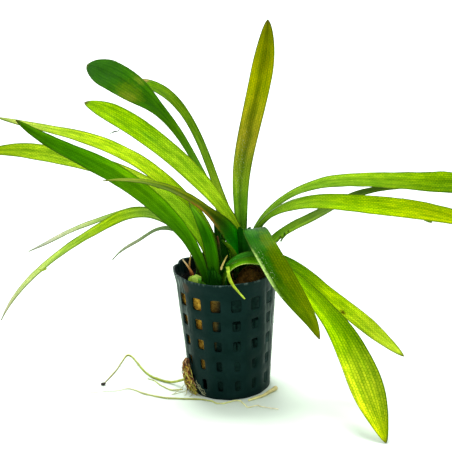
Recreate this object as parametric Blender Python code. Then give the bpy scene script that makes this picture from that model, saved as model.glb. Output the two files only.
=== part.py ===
"""Potted sagittaria: strap leaves on two short crowns, in a slotted net pot with a rockwool plug.

Sizes are in millimetres, and MM turns them into metres. +X is right, +Y is back and +Z is up.
The origin is the centre of the pot's underside, on the surface that the pot stands on.
"""
import math
from collections import namedtuple

import bmesh
import bpy
from mathutils import Vector

MM = 0.001
UP = Vector((0, 0, 1))
TOUCH_GAP = 0.3

# Net pot: a tapered wall with a flared lip and rows of slots
POT_HEIGHT = 61.0
POT_FOOT_RADIUS = 19.4
POT_NECK_RADIUS = 23.8
POT_LIP_RADIUS = 25.0
POT_NECK_HEIGHT = 55.0
POT_WALL = 0.9
POT_FLOOR = 1.2
SLOT_COLUMNS = 15
SLOT_TURN = math.radians(10.5)
SLOT_ROW_HEIGHTS = (7.2, 17.8, 28.4, 39.0, 49.4)
SLOT_SIZES = ((2.7, 5.6), (2.9, 5.4), (4.0, 5.4), (4.3, 5.5), (5.8, 6.4))
SLOT_MOST_TURN = math.radians(10.3)
FLOOR_MIDDLE_RADIUS = 0.6
DRAIN_HUB_RADIUS = 7.0
DRAIN_END_RADIUS = 14.5
DRAIN_WIDTH = 1.6
LIP_DENT_ANGLE = math.radians(215)
LIP_DENT_DEPTH = 1.6
LIP_DENT_REACH = 0.35

# Rockwool plug: full on the left, shrunk away from the wall on the right and at the bottom
WOOL_SIDES = 30
WOOL_WALL_GAP = 0.6
WOOL_RIGHT_SHRINK = 3.0
WOOL_RIGHT_TURN = 0.35
WOOL_RIGHT_SPREAD = 0.7
WOOL_FOOT_SHRINK = 4.0
WOOL_FOOT_TOP = 13.0
WOOL_TOP_MIDDLE = 50.6
WOOL_TOP_STEP = 5.2
WOOL_TOP_STEP_WIDTH = 6.0
WOOL_MOUND_PLACE = (12.0, -13.0)
WOOL_MOUND_HEIGHT = 5.5
WOOL_MOUND_REACH = 4.0
WOOL_RIPPLES = 5
WOOL_RIPPLE_LEAN = 0.21
WOOL_RIPPLE_DEPTH = 0.25
WOOL_LUMPS = (0.9, 0.8)
WOOL_LUMP_HEIGHT = 0.3
WOOL_SHOULDER_DROP = 1.4
WOOL_SHOULDER_HEIGHT = 46.0
WOOL_SIDE_HEIGHTS = (POT_FLOOR + TOUCH_GAP, 8.0, 12.0, 14.0, 22.0, 32.0, 42.0)
WOOL_TOP_SHARES = (1.0, 0.8, 0.55, 0.3, 0.1)

# Crowns: the short stems that the leaves grow from, as (x, y), radius, underside and top
CROWN_FRONT = ((-7.8, -7.6), 8.0, 51.7, 54.6)
CROWN_BACK = ((10.2, 4.4), 9.6, 57.0, 58.6)
CROWN_SIDES = 16
CROWN_RINGS = ((0.7, 0.0), (1.0, 0.3), (1.0, 0.7), (0.85, 1.0))
CROWN_LOBES = 3
CROWN_LOBE_DEPTH = 0.06

# Leaves. foot is where the leaf leaves its crown. rise is the slope of the midrib, heading its compass
# direction (0 is right, 90 is back) and twist the turn of the blade about the midrib, all in degrees.
# rise, heading, twist and width are each given at equal steps from the foot to the tip. tip is the share
# of the length over which the blade closes, and keel is how far each half is folded up from flat.
LEAF_STEPS = 16
LEAF_EDGE_THICKNESS = 0.3
LEAF_RIB_THICKNESS = 0.6
LEAF_FOOT_THICKNESS = 1.5
LEAF_FOOT_SHARE = 0.3
LEAF_TIP_WIDTH = 0.5
MIDRIB_STRIDES_PER_STEP = 4

Leaf = namedtuple("Leaf", "name foot length rise heading twist width tip keel colour")

BRIGHT = (0.42, 0.62, 0.03)
FRESH = (0.20, 0.45, 0.02)
DARK = (0.03, 0.20, 0.02)
OLIVE = (0.30, 0.33, 0.02)
PALE = (0.45, 0.60, 0.25)

LEAVES = (
    Leaf("leaf_upright", (7.7, 9.2, 58.9), 116, (86, 89, 72, 72, 85), (40, 40, 40),
         (40, 40, 45), (3.6, 6.2, 8.6, 10.0, 10.4, 9.2), 0.22, 6, OLIVE),
    Leaf("leaf_paddle", (2.8, 7.4, 58.9), 151, (94, 58, 46, 22, 10, 1), (140, 132, 128, 126),
         (-25, -30, -45, -50), (3.2, 3.6, 3.4, 3.8, 6.4, 13.6, 15.0, 12.8), 0.14, 5, DARK),
    Leaf("leaf_behind_paddle", (10.5, 12.5, 58.9), 121, (59, 57, 62, 48, 16, -14), (130, 130, 134, 140),
         (-25, -30, -35), (3.0, 4.0, 4.0, 4.2, 5.8, 6.4), 0.25, 6, FRESH),
    Leaf("leaf_wide_left", (11.2, 3.8, 58.9), 121, (84, 51, 36, 24, 7), (161, 152, 148, 145),
         (-45, -45, -40), (3.6, 5.2, 8.4, 9.8, 10.4, 8.4), 0.16, 6, BRIGHT),
    Leaf("leaf_long_left", (-5.0, -5.9, 54.9), 142, (106, 52, 41, 24, 13, 14), (106, 157, 171, 172),
         (-30, -40, -40), (3.4, 5.6, 7.6, 7.2, 6.8, 4.0, 2.6), 0.12, 6, BRIGHT),
    Leaf("leaf_dark_left", (-9.0, -13.4, 54.9), 126, (86, 57, 43, 32, 43), (190, 199, 199, 196),
         (-60, -60, -60), (3.6, 5.6, 9.2, 9.6, 7.4, 6.6), 0.3, 6, DARK),
    Leaf("leaf_low_left", (-6.7, -9.1, 54.9), 142, (99, 60, 35, 18, 10, -17), (170, 178, 178, 180),
         (-50, -50, -45), (3.4, 6.2, 7.8, 8.0, 8.2, 5.2), 0.25, 6, BRIGHT),
    Leaf("leaf_short", (-5.2, -12.6, 54.9), 46, (88, 84, 69, 57), (200, 205, 208),
         (55, 55, 55), (4.4, 6.8, 6.2, 3.6), 0.45, 8, DARK),
    Leaf("leaf_edge_on", (5.9, -0.9, 58.9), 96, (103, 58, 45, 31, 19, 7), (204, 209, 212, 213),
         (-70, -60, -30, -15), (6.0, 9.8, 5.2, 5.4, 4.2, 2.6), 0.3, 10, OLIVE),
    Leaf("leaf_thin_left", (-11.0, -3.5, 54.9), 112, (88, 61, 30, -16, -21, -28, -26), (165, 165, 165),
         (-20, -30, -40), (2.6, 3.6, 3.8, 3.0, 2.8, 1.6), 0.15, 8, PALE),
    Leaf("leaf_drooping_left", (-12.5, -6.5, 54.9), 137, (97, 64, 29, -22, -30, -37, -47, -63),
         (172, 178, 180, 184), (-50, -50, -50), (2.8, 3.4, 5.4, 3.8, 2.8, 1.6), 0.15, 6, BRIGHT),
    Leaf("leaf_thin_short", (-8.5, -0.5, 54.9), 73, (56, 67, 10, -33, -32, -50), (150, 150, 150),
         (-30, -30, -30), (2.4, 2.8, 2.6, 2.8, 1.8), 0.15, 8, PALE),
    Leaf("leaf_top_right", (11.5, 8.2, 58.9), 148, (93, 38, 2, -8, -8, -20), (18, 16, 11, 12),
         (40, 40, 45), (3.0, 3.2, 3.6, 6.8, 8.6, 10.6, 12.4, 8.8), 0.22, 8, BRIGHT),
    Leaf("leaf_long_right", (14.4, 2.6, 58.9), 140, (119, 35, -4, -8, -13, -19), (4, 3, -2, -5),
         (45, 45, 45), (3.0, 2.2, 6.6, 9.2, 10.0, 8.4, 6.0), 0.25, 6, BRIGHT),
    Leaf("leaf_shaded_right", (14.5, 12.0, 58.9), 108, (43, 11, 12, -5, -15), (35, 35, 35),
         (35, 40, 45), (3.0, 4.8, 4.2, 3.2, 2.4), 0.2, 8, DARK),
    Leaf("leaf_hidden_right", (16.2, 5.6, 58.9), 113, (126, 46, 2, -12, -12, -48), (18, 12, 12, 13),
         (40, 45, 45), (3.0, 2.8, 6.8, 8.4, 9.0), 0.2, 6, DARK),
    Leaf("leaf_folded", (13.6, -2.2, 58.9), 95, (110, 86, 10, -14, -45, -46, -40, -51),
         (-68, -83, -44, -59), (0, 1, 22, 15), (4.2, 6.6, 11.6, 11.8, 12.4, 9.0, 5.6), 0.22, 6, OLIVE),
    Leaf("leaf_torn_right", (-1.2, -10.3, 54.9), 108, (97, 11, -25, -38, -28, -30, -27),
         (8, 4, -22, -35, -38), (30, 30, 30), (3.6, 7.0, 8.6, 8.6, 8.2, 6.8), 0.25, 5, BRIGHT),
    Leaf("leaf_broad_right", (-1.2, -14.2, 54.9), 131, (97, -2, -38, -32, -43, -50, -54),
         (5, -10, -50, -62, -67), (15, 20, 30, 30), (3.6, 5.6, 8.0, 9.6, 13.8, 15.4, 10.4), 0.25, 10,
         BRIGHT),
)

# Dry and torn bits: narrow strips through hand-placed points, with width, thickness, side and colour
Strip = namedtuple("Strip", "name points width thickness side colour")
STRIP_STEPS = 8
STRIP_NARROWING = 0.6
STRAW = (0.55, 0.42, 0.12)
RUST = (0.25, 0.06, 0.02)
LIME = (0.50, 0.60, 0.08)

STRIPS = (
    Strip("torn_sheath", ((0.4, -15.4, 66.2), (1.0, -19.5, 67.4), (1.2, -23.4, 67.0), (1.4, -25.7, 65.7),
                          (2.1, -26.7, 63.6), (3.5, -26.9, 61.0), (5.2, -26.9, 58.6),
                          (8.2, -26.6, 54.6)), 1.6, 0.5, (1, 0, 0.3), LIME),
    Strip("small_petiole", ((4.6, -6.2, 55.9), (4.9, -6.0, 62.0), (4.7, -6.0, 66.9), (3.3, -6.5, 70.9),
                            (0.9, -7.4, 74.3), (-1.4, -8.4, 76.9)), 2.6, 0.8, (1, -0.2, 0.2), FRESH),
    Strip("brown_sheath", ((-3.8, -9.7, 55.2), (-2.9, -9.8, 60.0), (-2.2, -9.9, 66.0), (-2.5, -10.0, 71.0),
                           (-2.8, -9.9, 75.5), (-3.2, -10.1, 79.5)), 1.8, 0.5, (1, 0.1, 0), RUST),
    Strip("straw_sliver", ((-2.2, -15.9, 65.2), (-1.0, -15.9, 68.2), (1.1, -15.0, 71.8)),
          0.9, 0.4, (1, 0, -0.4), STRAW),
    Strip("dry_sliver_left", ((-14.9, -7.8, 55.5), (-15.4, -7.5, 60.0), (-16.5, -6.4, 61.9), (-18.1, -4.6, 64.0),
                              (-19.9, -2.6, 65.9)), 1.1, 0.4, (0.9, 0, 0.4), STRAW),
    Strip("dry_sliver_right", ((-15.6, -4.6, 55.5), (-16.5, -4.6, 60.0), (-16.9, -4.0, 62.4),
                               (-16.5, -2.6, 65.5), (-15.9, -1.0, 69.1)), 1.0, 0.4, (1, 0, 0.1), STRAW),
)

# Roots: each point is x, y and the height of the root's underside; they lie on the surface
Root = namedtuple("Root", "name points radius tip_radius steps colour")
ROOT_SIDES = 6
ROOT_PALE = (0.55, 0.55, 0.18)
ROOT_TAN = (0.55, 0.42, 0.20)

ROOTS = (
    Root("root_long", ((-23.4, -3.0, 3.2), (-28.5, 1.0, 0.4), (-36, 6.2, 0), (-41, 13, 0), (-44, 19.5, 0),
                       (-47.5, 29, 0), (-50, 34.6, 0), (-52.4, 35.4, 0), (-54.4, 28, 0), (-57, 17.5, 0),
                       (-60.8, 5.6, 0)), 0.62, 0.3, 26, ROOT_PALE),
    Root("root_second", ((-23.0, -8.0, 0.6), (-29, -6.0, 0), (-34.4, 0.2, 0), (-37, 4.8, 0), (-40.4, 7.4, 0)),
         0.35, 0.25, 12, ROOT_PALE),
    Root("root_front", ((-68, -5.3, 0), (-55, -4.5, 0), (-50.5, -2.7, 0), (-46.6, -4.6, 0), (-40, -10.2, 0),
                        (-31.4, -14.6, 0), (-22.4, -16.6, 0), (-14.7, -17.8, 0), (-9.7, -19.8, 0),
                        (-6.5, -22.6, 0), (-2.7, -22.9, 0), (1.0, -20.7, 0), (4.2, -21.0, 0), (6.1, -24.3, 0),
                        (8, -28, 0), (11.6, -26.4, 0), (15, -28, 0), (22, -31, 0)),
         0.52, 0.22, 40, ROOT_PALE),
    Root("root_stub", ((8.3, -21.2, 0), (14.8, -17.4, 0), (19, -13.4, 0), (22, -10.2, 0)),
         0.5, 1.15, 8, ROOT_TAN),
)
GRAIN_PLACE = (-62.0, 2.4)
GRAIN_RADIUS = 1.1
GRAIN_SHAPE = (1.2, 0.9, 0.7)
GRAIN_DARK = (0.02, 0.02, 0.02)

# Brown tangle of roots on the wall at the lower left; angles are from the front, towards the left
MAT_ANGLE = math.radians(66)
MAT_FOOT = 0.4
MAT_TOP = 18.0
MAT_WALL_GAP = 0.65
MAT_WIDTH = 5.4
MAT_THICKNESS = 2.6
MAT_LEAN = 0.10
MAT_FULLNESS = (0.64, 0.84, 0.96, 1.0, 0.98, 0.94, 0.84, 0.70, 0.56)
MAT_SIDES = 8
MAT_BROWN = (0.20, 0.08, 0.02)

POT_BLACK = (0.010, 0.022, 0.026)
WOOL_BROWN = (0.30, 0.13, 0.02)
CROWN_PALE = (0.35, 0.55, 0.12)


def along(values, share):
    """The value at a share of the way through equally spaced values, on a smooth curve."""
    last = len(values) - 1
    place = min(max(share, 0.0), 1.0) * last
    index = min(int(place), last - 1)
    part = place - index
    second, third = values[index], values[index + 1]
    first = values[index - 1] if index > 0 else 2 * second - third
    fourth = values[index + 2] if index + 2 <= last else 2 * third - second
    return (second + 0.5 * part * (third - first
            + part * (2 * first - 5 * second + 4 * third - fourth
                      + part * (3 * (second - third) + fourth - first))))


def smooth_route(points, steps):
    """Evenly numbered places on a smooth curve through hand-placed points."""
    axes = list(zip(*points))
    return [Vector([along(axis, step / steps) for axis in axes]) for step in range(steps + 1)]


def make_material(name, colour, roughness):
    material = bpy.data.materials.new(name)
    material.use_nodes = True
    shader = material.node_tree.nodes["Principled BSDF"]
    shader.inputs["Base Color"].default_value = (*colour, 1.0)
    shader.inputs["Roughness"].default_value = roughness
    shader.inputs["Metallic"].default_value = 0.0
    return material


def add_object(name, mesh_builder, colour, roughness, smooth=True):
    """Turns a bmesh in millimetres into a named object in metres with its own material."""
    bmesh.ops.recalc_face_normals(mesh_builder, faces=mesh_builder.faces)
    bmesh.ops.scale(mesh_builder, vec=(MM, MM, MM), verts=mesh_builder.verts)
    mesh = bpy.data.meshes.new(name)
    mesh_builder.to_mesh(mesh)
    mesh_builder.free()
    piece = bpy.data.objects.new(name, mesh)
    bpy.context.collection.objects.link(piece)
    mesh.materials.append(make_material(name, colour, roughness))
    if smooth:
        mesh.shade_smooth()
        mesh.set_sharp_from_angle(angle=math.radians(40))
    return piece


def skin_rings(rings):
    """A closed body through a row of rings with the same number of points."""
    body = bmesh.new()
    rows = [[body.verts.new(point) for point in ring] for ring in rings]
    sides = len(rings[0])
    for low, high in zip(rows, rows[1:]):
        for side in range(sides):
            after = (side + 1) % sides
            body.faces.new((low[side], low[after], high[after], high[side]))
    body.faces.new(rows[0])
    body.faces.new(rows[-1])
    return body


def leaf_frame(leaf, share):
    """Direction of the midrib, width direction and face direction at a share of the length."""
    rise = math.radians(along(leaf.rise, share))
    heading = math.radians(along(leaf.heading, share))
    forward = Vector((math.cos(rise) * math.cos(heading), math.cos(rise) * math.sin(heading), math.sin(rise)))
    side = Vector((-math.sin(heading), math.cos(heading), 0.0))
    face = forward.cross(side)
    twist = math.radians(along(leaf.twist, share))
    return (forward, side * math.cos(twist) + face * math.sin(twist),
            face * math.cos(twist) - side * math.sin(twist))


def leaf_midrib(leaf, steps):
    """Places on the midrib, found by walking along it from the foot."""
    strides = steps * MIDRIB_STRIDES_PER_STEP
    place = Vector(leaf.foot)
    places = [place.copy()]
    for count in range(strides):
        place += leaf_frame(leaf, (count + 0.5) / strides)[0] * leaf.length / strides
        if (count + 1) % MIDRIB_STRIDES_PER_STEP == 0:
            places.append(place.copy())
    return places


def leaf_width(leaf, share):
    closing = max(0.0, (share - 1.0 + leaf.tip) / leaf.tip)
    return max(along(leaf.width, share) * (1.0 - closing * closing) ** 0.6, LEAF_TIP_WIDTH)


def leaf_thickness(share):
    foot_part = max(0.0, 1.0 - share / LEAF_FOOT_SHARE)
    return LEAF_RIB_THICKNESS + (LEAF_FOOT_THICKNESS - LEAF_RIB_THICKNESS) * foot_part ** 2


def make_leaf(leaf):
    rings = []
    keel = math.radians(leaf.keel)
    for step, middle in enumerate(leaf_midrib(leaf, LEAF_STEPS)):
        share = step / LEAF_STEPS
        _, side, face = leaf_frame(leaf, share)
        half = 0.5 * leaf_width(leaf, share)
        out = side * half * math.cos(keel)
        lift = face * half * math.sin(keel)
        edge = face * LEAF_EDGE_THICKNESS / 2
        rib = face * leaf_thickness(share) / 2
        ring = [middle - out + lift - edge, middle - rib, middle + out + lift - edge,
                middle + out + lift + edge, middle + rib, middle - out + lift + edge]
        if step == 0:
            for point in ring:
                point.z = middle.z
        rings.append(ring)
    return add_object(leaf.name, skin_rings(rings), leaf.colour, 0.35)


def make_strip(strip):
    route = smooth_route(strip.points, STRIP_STEPS)
    rings = []
    for step, middle in enumerate(route):
        forward = (route[min(step + 1, STRIP_STEPS)] - route[max(step - 1, 0)]).normalized()
        side = Vector(strip.side)
        side = (side - forward * side.dot(forward)).normalized()
        face = forward.cross(side) * strip.thickness / 2
        narrowing = 1.0 - STRIP_NARROWING * (step / STRIP_STEPS) ** 3
        out = side * strip.width / 2 * narrowing
        rings.append((middle - out - face, middle + out - face, middle + out + face, middle - out + face))
    return add_object(strip.name, skin_rings(rings), strip.colour, 0.6)


def make_root(root):
    rings = []
    route = smooth_route(root.points, root.steps)
    for step, under in enumerate(route):
        forward = route[min(step + 1, root.steps)] - route[max(step - 1, 0)]
        side = forward.cross(UP).normalized()
        over = side.cross(forward).normalized()
        radius = root.radius + (root.tip_radius - root.radius) * step / root.steps
        middle = Vector((under.x, under.y, max(under.z, 0.0) + radius))
        ring = []
        for corner in range(ROOT_SIDES):
            angle = math.tau * (corner + 0.5) / ROOT_SIDES
            ring.append(middle + (side * math.cos(angle) + over * math.sin(angle)) * radius)
        rings.append(ring)
    return add_object(root.name, skin_rings(rings), root.colour, 0.5)


def make_grain():
    body = bmesh.new()
    bmesh.ops.create_icosphere(body, subdivisions=1, radius=GRAIN_RADIUS)
    bmesh.ops.scale(body, vec=GRAIN_SHAPE, verts=body.verts)
    bmesh.ops.translate(body, vec=(*GRAIN_PLACE, GRAIN_RADIUS * GRAIN_SHAPE[2]), verts=body.verts)
    return add_object("root_grain", body, GRAIN_DARK, 0.7, smooth=False)


def wall_radius(height):
    """Outer radius of the pot's wall, with the flare of the lip above the neck."""
    if height <= POT_NECK_HEIGHT:
        return POT_FOOT_RADIUS + (POT_NECK_RADIUS - POT_FOOT_RADIUS) * height / POT_NECK_HEIGHT
    flare = (height - POT_NECK_HEIGHT) / (POT_HEIGHT - POT_NECK_HEIGHT)
    return POT_NECK_RADIUS + (POT_LIP_RADIUS - POT_NECK_RADIUS) * flare


def from_front(angle, radius, height):
    """A place at an angle from the front, positive to the right."""
    return Vector((radius * math.sin(angle), -radius * math.cos(angle), height))


def lip_dent(angle):
    """The lip is pushed in a little at the back left."""
    away = math.atan2(math.sin(angle - LIP_DENT_ANGLE), math.cos(angle - LIP_DENT_ANGLE))
    return LIP_DENT_DEPTH * math.exp(-(away / LIP_DENT_REACH) ** 2)


def pot_profile():
    """Rings from the floor's middle to the lip: outer radius, height, inner radius, height, slot width."""
    rings = [(radius, 0.0, radius, POT_FLOOR, DRAIN_WIDTH)
             for radius in (FLOOR_MIDDLE_RADIUS, DRAIN_HUB_RADIUS, DRAIN_END_RADIUS)]
    heights = [(0.0, SLOT_SIZES[0][0])]
    for height, (width, tall) in zip(SLOT_ROW_HEIGHTS, SLOT_SIZES):
        heights.append((height - tall / 2, width))
        heights.append((height + tall / 2, width))
    heights.append((POT_NECK_HEIGHT, SLOT_SIZES[-1][0]))
    heights.append((POT_HEIGHT, SLOT_SIZES[-1][0]))
    for height, width in heights:
        radius = wall_radius(height)
        rings.append((radius, height, radius - POT_WALL, max(height, POT_FLOOR), width))
    return rings


def pot_corners(radius, slot_width):
    """Angles of one ring's corners: two for each slot column, at the slot's sides."""
    half = min(math.asin(min(slot_width / 2 / radius, 1.0)), SLOT_MOST_TURN)
    middles = [SLOT_TURN + math.tau * column / SLOT_COLUMNS for column in range(SLOT_COLUMNS)]
    return [middle + turn for middle in middles for turn in (-half, half)]


def make_pot():
    """Inner and outer skins, ring after ring, left open at the slots, whose edges join the skins."""
    body = bmesh.new()
    profile = pot_profile()
    drain_ring = 1
    first_slot_ring = 4
    slot_rings = {drain_ring} | {first_slot_ring + 2 * row for row in range(len(SLOT_ROW_HEIGHTS))}
    outer, inner = [], []
    for number, (outer_radius, outer_z, inner_radius, inner_z, width) in enumerate(profile):
        outer_row, inner_row = [], []
        for angle in pot_corners(outer_radius, width):
            dent = lip_dent(angle) if number == len(profile) - 1 else 0.0
            outer_row.append(body.verts.new(from_front(angle, outer_radius - dent, outer_z)))
            inner_row.append(body.verts.new(from_front(angle, inner_radius - dent, inner_z)))
        outer.append(outer_row)
        inner.append(inner_row)
    corners = 2 * SLOT_COLUMNS
    for ring in range(len(profile) - 1):
        for corner in range(corners):
            after = (corner + 1) % corners
            out_four, in_four = [(skin[ring][corner], skin[ring][after], skin[ring + 1][after],
                                  skin[ring + 1][corner]) for skin in (outer, inner)]
            if ring in slot_rings and corner % 2 == 0:
                for side in range(4):
                    nearby = (side + 1) % 4
                    body.faces.new((out_four[side], out_four[nearby], in_four[nearby], in_four[side]))
            else:
                body.faces.new(out_four)
                body.faces.new(in_four)
    for corner in range(corners):
        after = (corner + 1) % corners
        body.faces.new((outer[-1][corner], outer[-1][after], inner[-1][after], inner[-1][corner]))
    body.faces.new(outer[0])
    body.faces.new(inner[0])
    return add_object("pot", body, POT_BLACK, 0.3)


def wool_radius(angle, height):
    """The plug follows the wall, but shrinks away from it on the right and near the floor."""
    right_share = max(0.0, math.sin(angle + WOOL_RIGHT_TURN)) ** WOOL_RIGHT_SPREAD
    foot_share = min(1.0, 2.0 * max(0.0, 1.0 - height / WOOL_FOOT_TOP))
    shrink = WOOL_RIGHT_SHRINK * right_share + WOOL_FOOT_SHRINK * foot_share
    ripple = WOOL_RIPPLE_DEPTH * math.sin(WOOL_RIPPLES * angle + WOOL_RIPPLE_LEAN * height) ** 2
    return wall_radius(height) - POT_WALL - WOOL_WALL_GAP - shrink - ripple


def wool_top(x, y):
    """Lumpy top, low on the left and high on the right."""
    lumps = WOOL_LUMP_HEIGHT * math.sin(WOOL_LUMPS[0] * x + 1.0) * math.cos(WOOL_LUMPS[1] * y)
    away = math.hypot(x - WOOL_MOUND_PLACE[0], y - WOOL_MOUND_PLACE[1]) / WOOL_MOUND_REACH
    mound = WOOL_MOUND_HEIGHT * math.exp(-0.5 * away * away)
    return WOOL_TOP_MIDDLE + WOOL_TOP_STEP * math.tanh(x / WOOL_TOP_STEP_WIDTH) + mound + lumps


def make_rockwool():
    angles = [math.tau * side / WOOL_SIDES for side in range(WOOL_SIDES)]
    rings = []
    for height in WOOL_SIDE_HEIGHTS:
        rings.append([from_front(angle, wool_radius(angle, height), height) for angle in angles])
    for share in WOOL_TOP_SHARES:
        drop = WOOL_SHOULDER_DROP if share == 1.0 else 0.0
        ring = []
        for angle in angles:
            place = from_front(angle, wool_radius(angle, WOOL_SHOULDER_HEIGHT) * share, 0.0)
            ring.append(Vector((place.x, place.y, wool_top(place.x, place.y) - drop)))
        rings.append(ring)
    return add_object("rockwool", skin_rings(rings), WOOL_BROWN, 0.9)


def make_crown(name, crown):
    (x, y), radius, low, high = crown
    rings = []
    for width_share, height_share in CROWN_RINGS:
        height = low + (high - low) * height_share
        ring = []
        for side in range(CROWN_SIDES):
            angle = math.tau * side / CROWN_SIDES
            reach = radius * width_share * (1.0 + CROWN_LOBE_DEPTH * math.sin(CROWN_LOBES * angle))
            ring.append(Vector((x + reach * math.cos(angle), y + reach * math.sin(angle), height)))
        rings.append(ring)
    return add_object(name, skin_rings(rings), CROWN_PALE, 0.4)


def make_root_mat():
    """A lumpy pad of tangled roots that lies against the outside of the wall."""
    rings = []
    for step, fullness in enumerate(MAT_FULLNESS):
        share = step / (len(MAT_FULLNESS) - 1)
        height = MAT_FOOT + (MAT_TOP - MAT_FOOT) * share
        half_thick = 0.5 * MAT_THICKNESS * fullness
        half_wide = 0.5 * MAT_WIDTH * fullness
        middle_angle = -MAT_ANGLE - MAT_LEAN * math.sin(math.pi * share)
        clear = wall_radius(height) + MAT_WALL_GAP
        ring = []
        for side in range(MAT_SIDES):
            turn = math.tau * side / MAT_SIDES
            outward = clear + half_thick * (1.0 + math.sin(turn))
            ring.append(from_front(middle_angle + half_wide * math.cos(turn) / clear, outward, height))
        rings.append(ring)
    return add_object("root_mat", skin_rings(rings), MAT_BROWN, 0.85)


def main():
    for old in list(bpy.data.objects):
        bpy.data.objects.remove(old)
    make_pot()
    make_rockwool()
    make_crown("crown_front", CROWN_FRONT)
    make_crown("crown_back", CROWN_BACK)
    for leaf in LEAVES:
        make_leaf(leaf)
    for strip in STRIPS:
        make_strip(strip)
    for root in ROOTS:
        make_root(root)
    make_grain()
    make_root_mat()


main()
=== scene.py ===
"""Potted sagittaria: the finished leaves, pot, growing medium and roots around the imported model.

Sizes are in millimetres and MM turns them into metres. +X is right, +Y is back and +Z is up.
The leaves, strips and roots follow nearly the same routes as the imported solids.
"""
import math
import random
from collections import namedtuple

import bmesh
import bpy
from mathutils import Matrix, Vector, noise


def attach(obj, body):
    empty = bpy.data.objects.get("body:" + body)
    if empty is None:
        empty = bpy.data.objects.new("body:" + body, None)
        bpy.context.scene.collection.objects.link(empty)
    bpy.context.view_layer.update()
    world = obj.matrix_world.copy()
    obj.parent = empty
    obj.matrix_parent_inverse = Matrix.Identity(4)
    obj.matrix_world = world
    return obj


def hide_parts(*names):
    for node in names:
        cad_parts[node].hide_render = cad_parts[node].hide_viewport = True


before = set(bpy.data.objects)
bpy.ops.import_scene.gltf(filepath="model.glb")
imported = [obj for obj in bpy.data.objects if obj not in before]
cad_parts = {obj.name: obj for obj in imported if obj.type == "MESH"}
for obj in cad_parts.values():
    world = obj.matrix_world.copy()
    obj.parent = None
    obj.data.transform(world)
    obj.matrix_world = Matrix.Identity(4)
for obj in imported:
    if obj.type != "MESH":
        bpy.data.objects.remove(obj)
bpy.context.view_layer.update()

MM = 0.001
UP = Vector((0, 0, 1))

# Camera, from the pot's lip and foot in the photograph
CAMERA_TARGET = Vector((0, 0, 60))
CAMERA_ELEVATION = math.radians(21.09)
CAMERA_ROLL = math.radians(2.29)
CAMERA_DISTANCE = 650.0
CAMERA_LENS = 109.75
CAMERA_SHIFT = (0.001, 0.092)

# Light, and the white floor with its reach and drop in metres
SUN_FROM = Vector((-0.07, 0.33, 1.0))
SUN_STRENGTH = 4.2
SUN_ANGLE = math.radians(22)
WORLD_BACK = (1.8, 1.8, 1.8)
WORLD_FRONT = (1.3, 1.3, 1.3)
FLOOR_REACH = 4.0
FLOOR_DROP = 0.00005

# Pot
POT_HEIGHT = 61.0
POT_FOOT_RADIUS = 19.4
POT_NECK_RADIUS = 23.8
POT_LIP_RADIUS = 25.0
POT_NECK_HEIGHT = 55.0
POT_WALL = 0.9
POT_FLOOR = 1.2
SLOT_COLUMNS = 15
SLOT_TURN = math.radians(10.5)
SLOT_ROW_HEIGHTS = (7.2, 17.8, 28.4, 39.0, 49.4)
SLOT_SIZES = ((2.6, 5.6), (2.8, 5.2), (3.6, 5.2), (4.0, 5.3), (4.9, 6.2))
# The wide dent in the lip, and the small knocks: angle, depth in mm and reach in radians
LIP_DENT_ANGLE = math.radians(215)
LIP_DENT_DEPTH = 1.6
LIP_DENT_REACH = 0.35
LIP_KNOCKS = ((math.radians(252), 0.7, 0.07), (math.radians(228), 0.5, 0.09),
              (math.radians(205), 0.4, 0.06))
LIP_WAVE = 0.35
WALL_UNEVEN = 0.18
WALL_FLAT = 0.12
SLOT_CORNER = 0.7
SLOT_SOFTENING = 0.35
SLOT_SINK = 0.15
# Height of the lowest ring of the slotted wall, its margin above the top slots, and the rings of the lip
POT_FIRST_CELL = 2.0
POT_LAST_CELL_MARGIN = 1.2
POT_LIP_LEVELS = (56.2, 57.6, 59.0, 60.2)
POT_LIP_ROUNDING = 0.25
# Rings round the foot: how far in from the wall, and height
FOOT_OUTER_ROUNDING = ((0.5, 0.0), (0.12, 0.15), (0.0, 0.5))
FOOT_INNER_ROUNDING = ((0.2, 0.3),)
DRAIN_HUB_RADIUS = 7.0
DRAIN_END_RADIUS = 14.5
DRAIN_WIDTH = 1.6
DRAIN_CELL_MARGIN = 1.5

# Growing medium
WOOL_SIDES = 360
WOOL_RINGS = 96
WOOL_TOP_RINGS = 36
WOOL_COLLAR_RINGS = 20
WOOL_COLLAR_TOP = 54.0
WOOL_SEED = 11
WOOL_FIBRES = 900
WOOL_SIDE_FIBRES = 900
WOOL_FIBRE_ANGLES = (math.radians(-150), math.radians(20))
WOOL_FIBRE_HEIGHTS = (14.0, 50.0)
WOOL_FIBRE_RADII = (0.07, 0.07, 0.03)
WOOL_SHOULDER_HEIGHT = 46.0
WOOL_SHOULDER_DROP = 1.4
WOOL_WALL_GAP = 0.6
WOOL_RIGHT_SHRINK = 0.2
WOOL_RIGHT_TURN = 0.35
WOOL_RIGHT_SPREAD = 0.7
WOOL_SLOT_LAYER = 0.25
WOOL_SLOT_GAP = 0.35
# The gaps in the slots: the heights between which they open and close, and the angles past which they close
WOOL_GAP_FOOT = (22.0, 24.0)
WOOL_GAP_TOP = (44.0, 43.0)
WOOL_GAP_TURN = (0.75, 0.70)
WOOL_FOOT_SHRINK = 4.0
WOOL_FOOT_TOP = 13.0
WOOL_FOOT_LEFT = -0.50
WOOL_FOOT_RIGHT = -0.30
WOOL_TOP_MIDDLE = 50.6
WOOL_TOP_STEP = 5.2
WOOL_TOP_STEP_WIDTH = 6.0
WOOL_BACK_RISE = 8.5
WOOL_BACK_SPAN = (2.0, 14.0)
WOOL_WALL_RISE = 10.0
WOOL_WALL_SPAN = (17.0, 20.5)
WOOL_MOUND_PLACE = (12.0, -10.0)
WOOL_MOUND_HEIGHT = 7.5
WOOL_MOUND_REACH = 7.5
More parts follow.
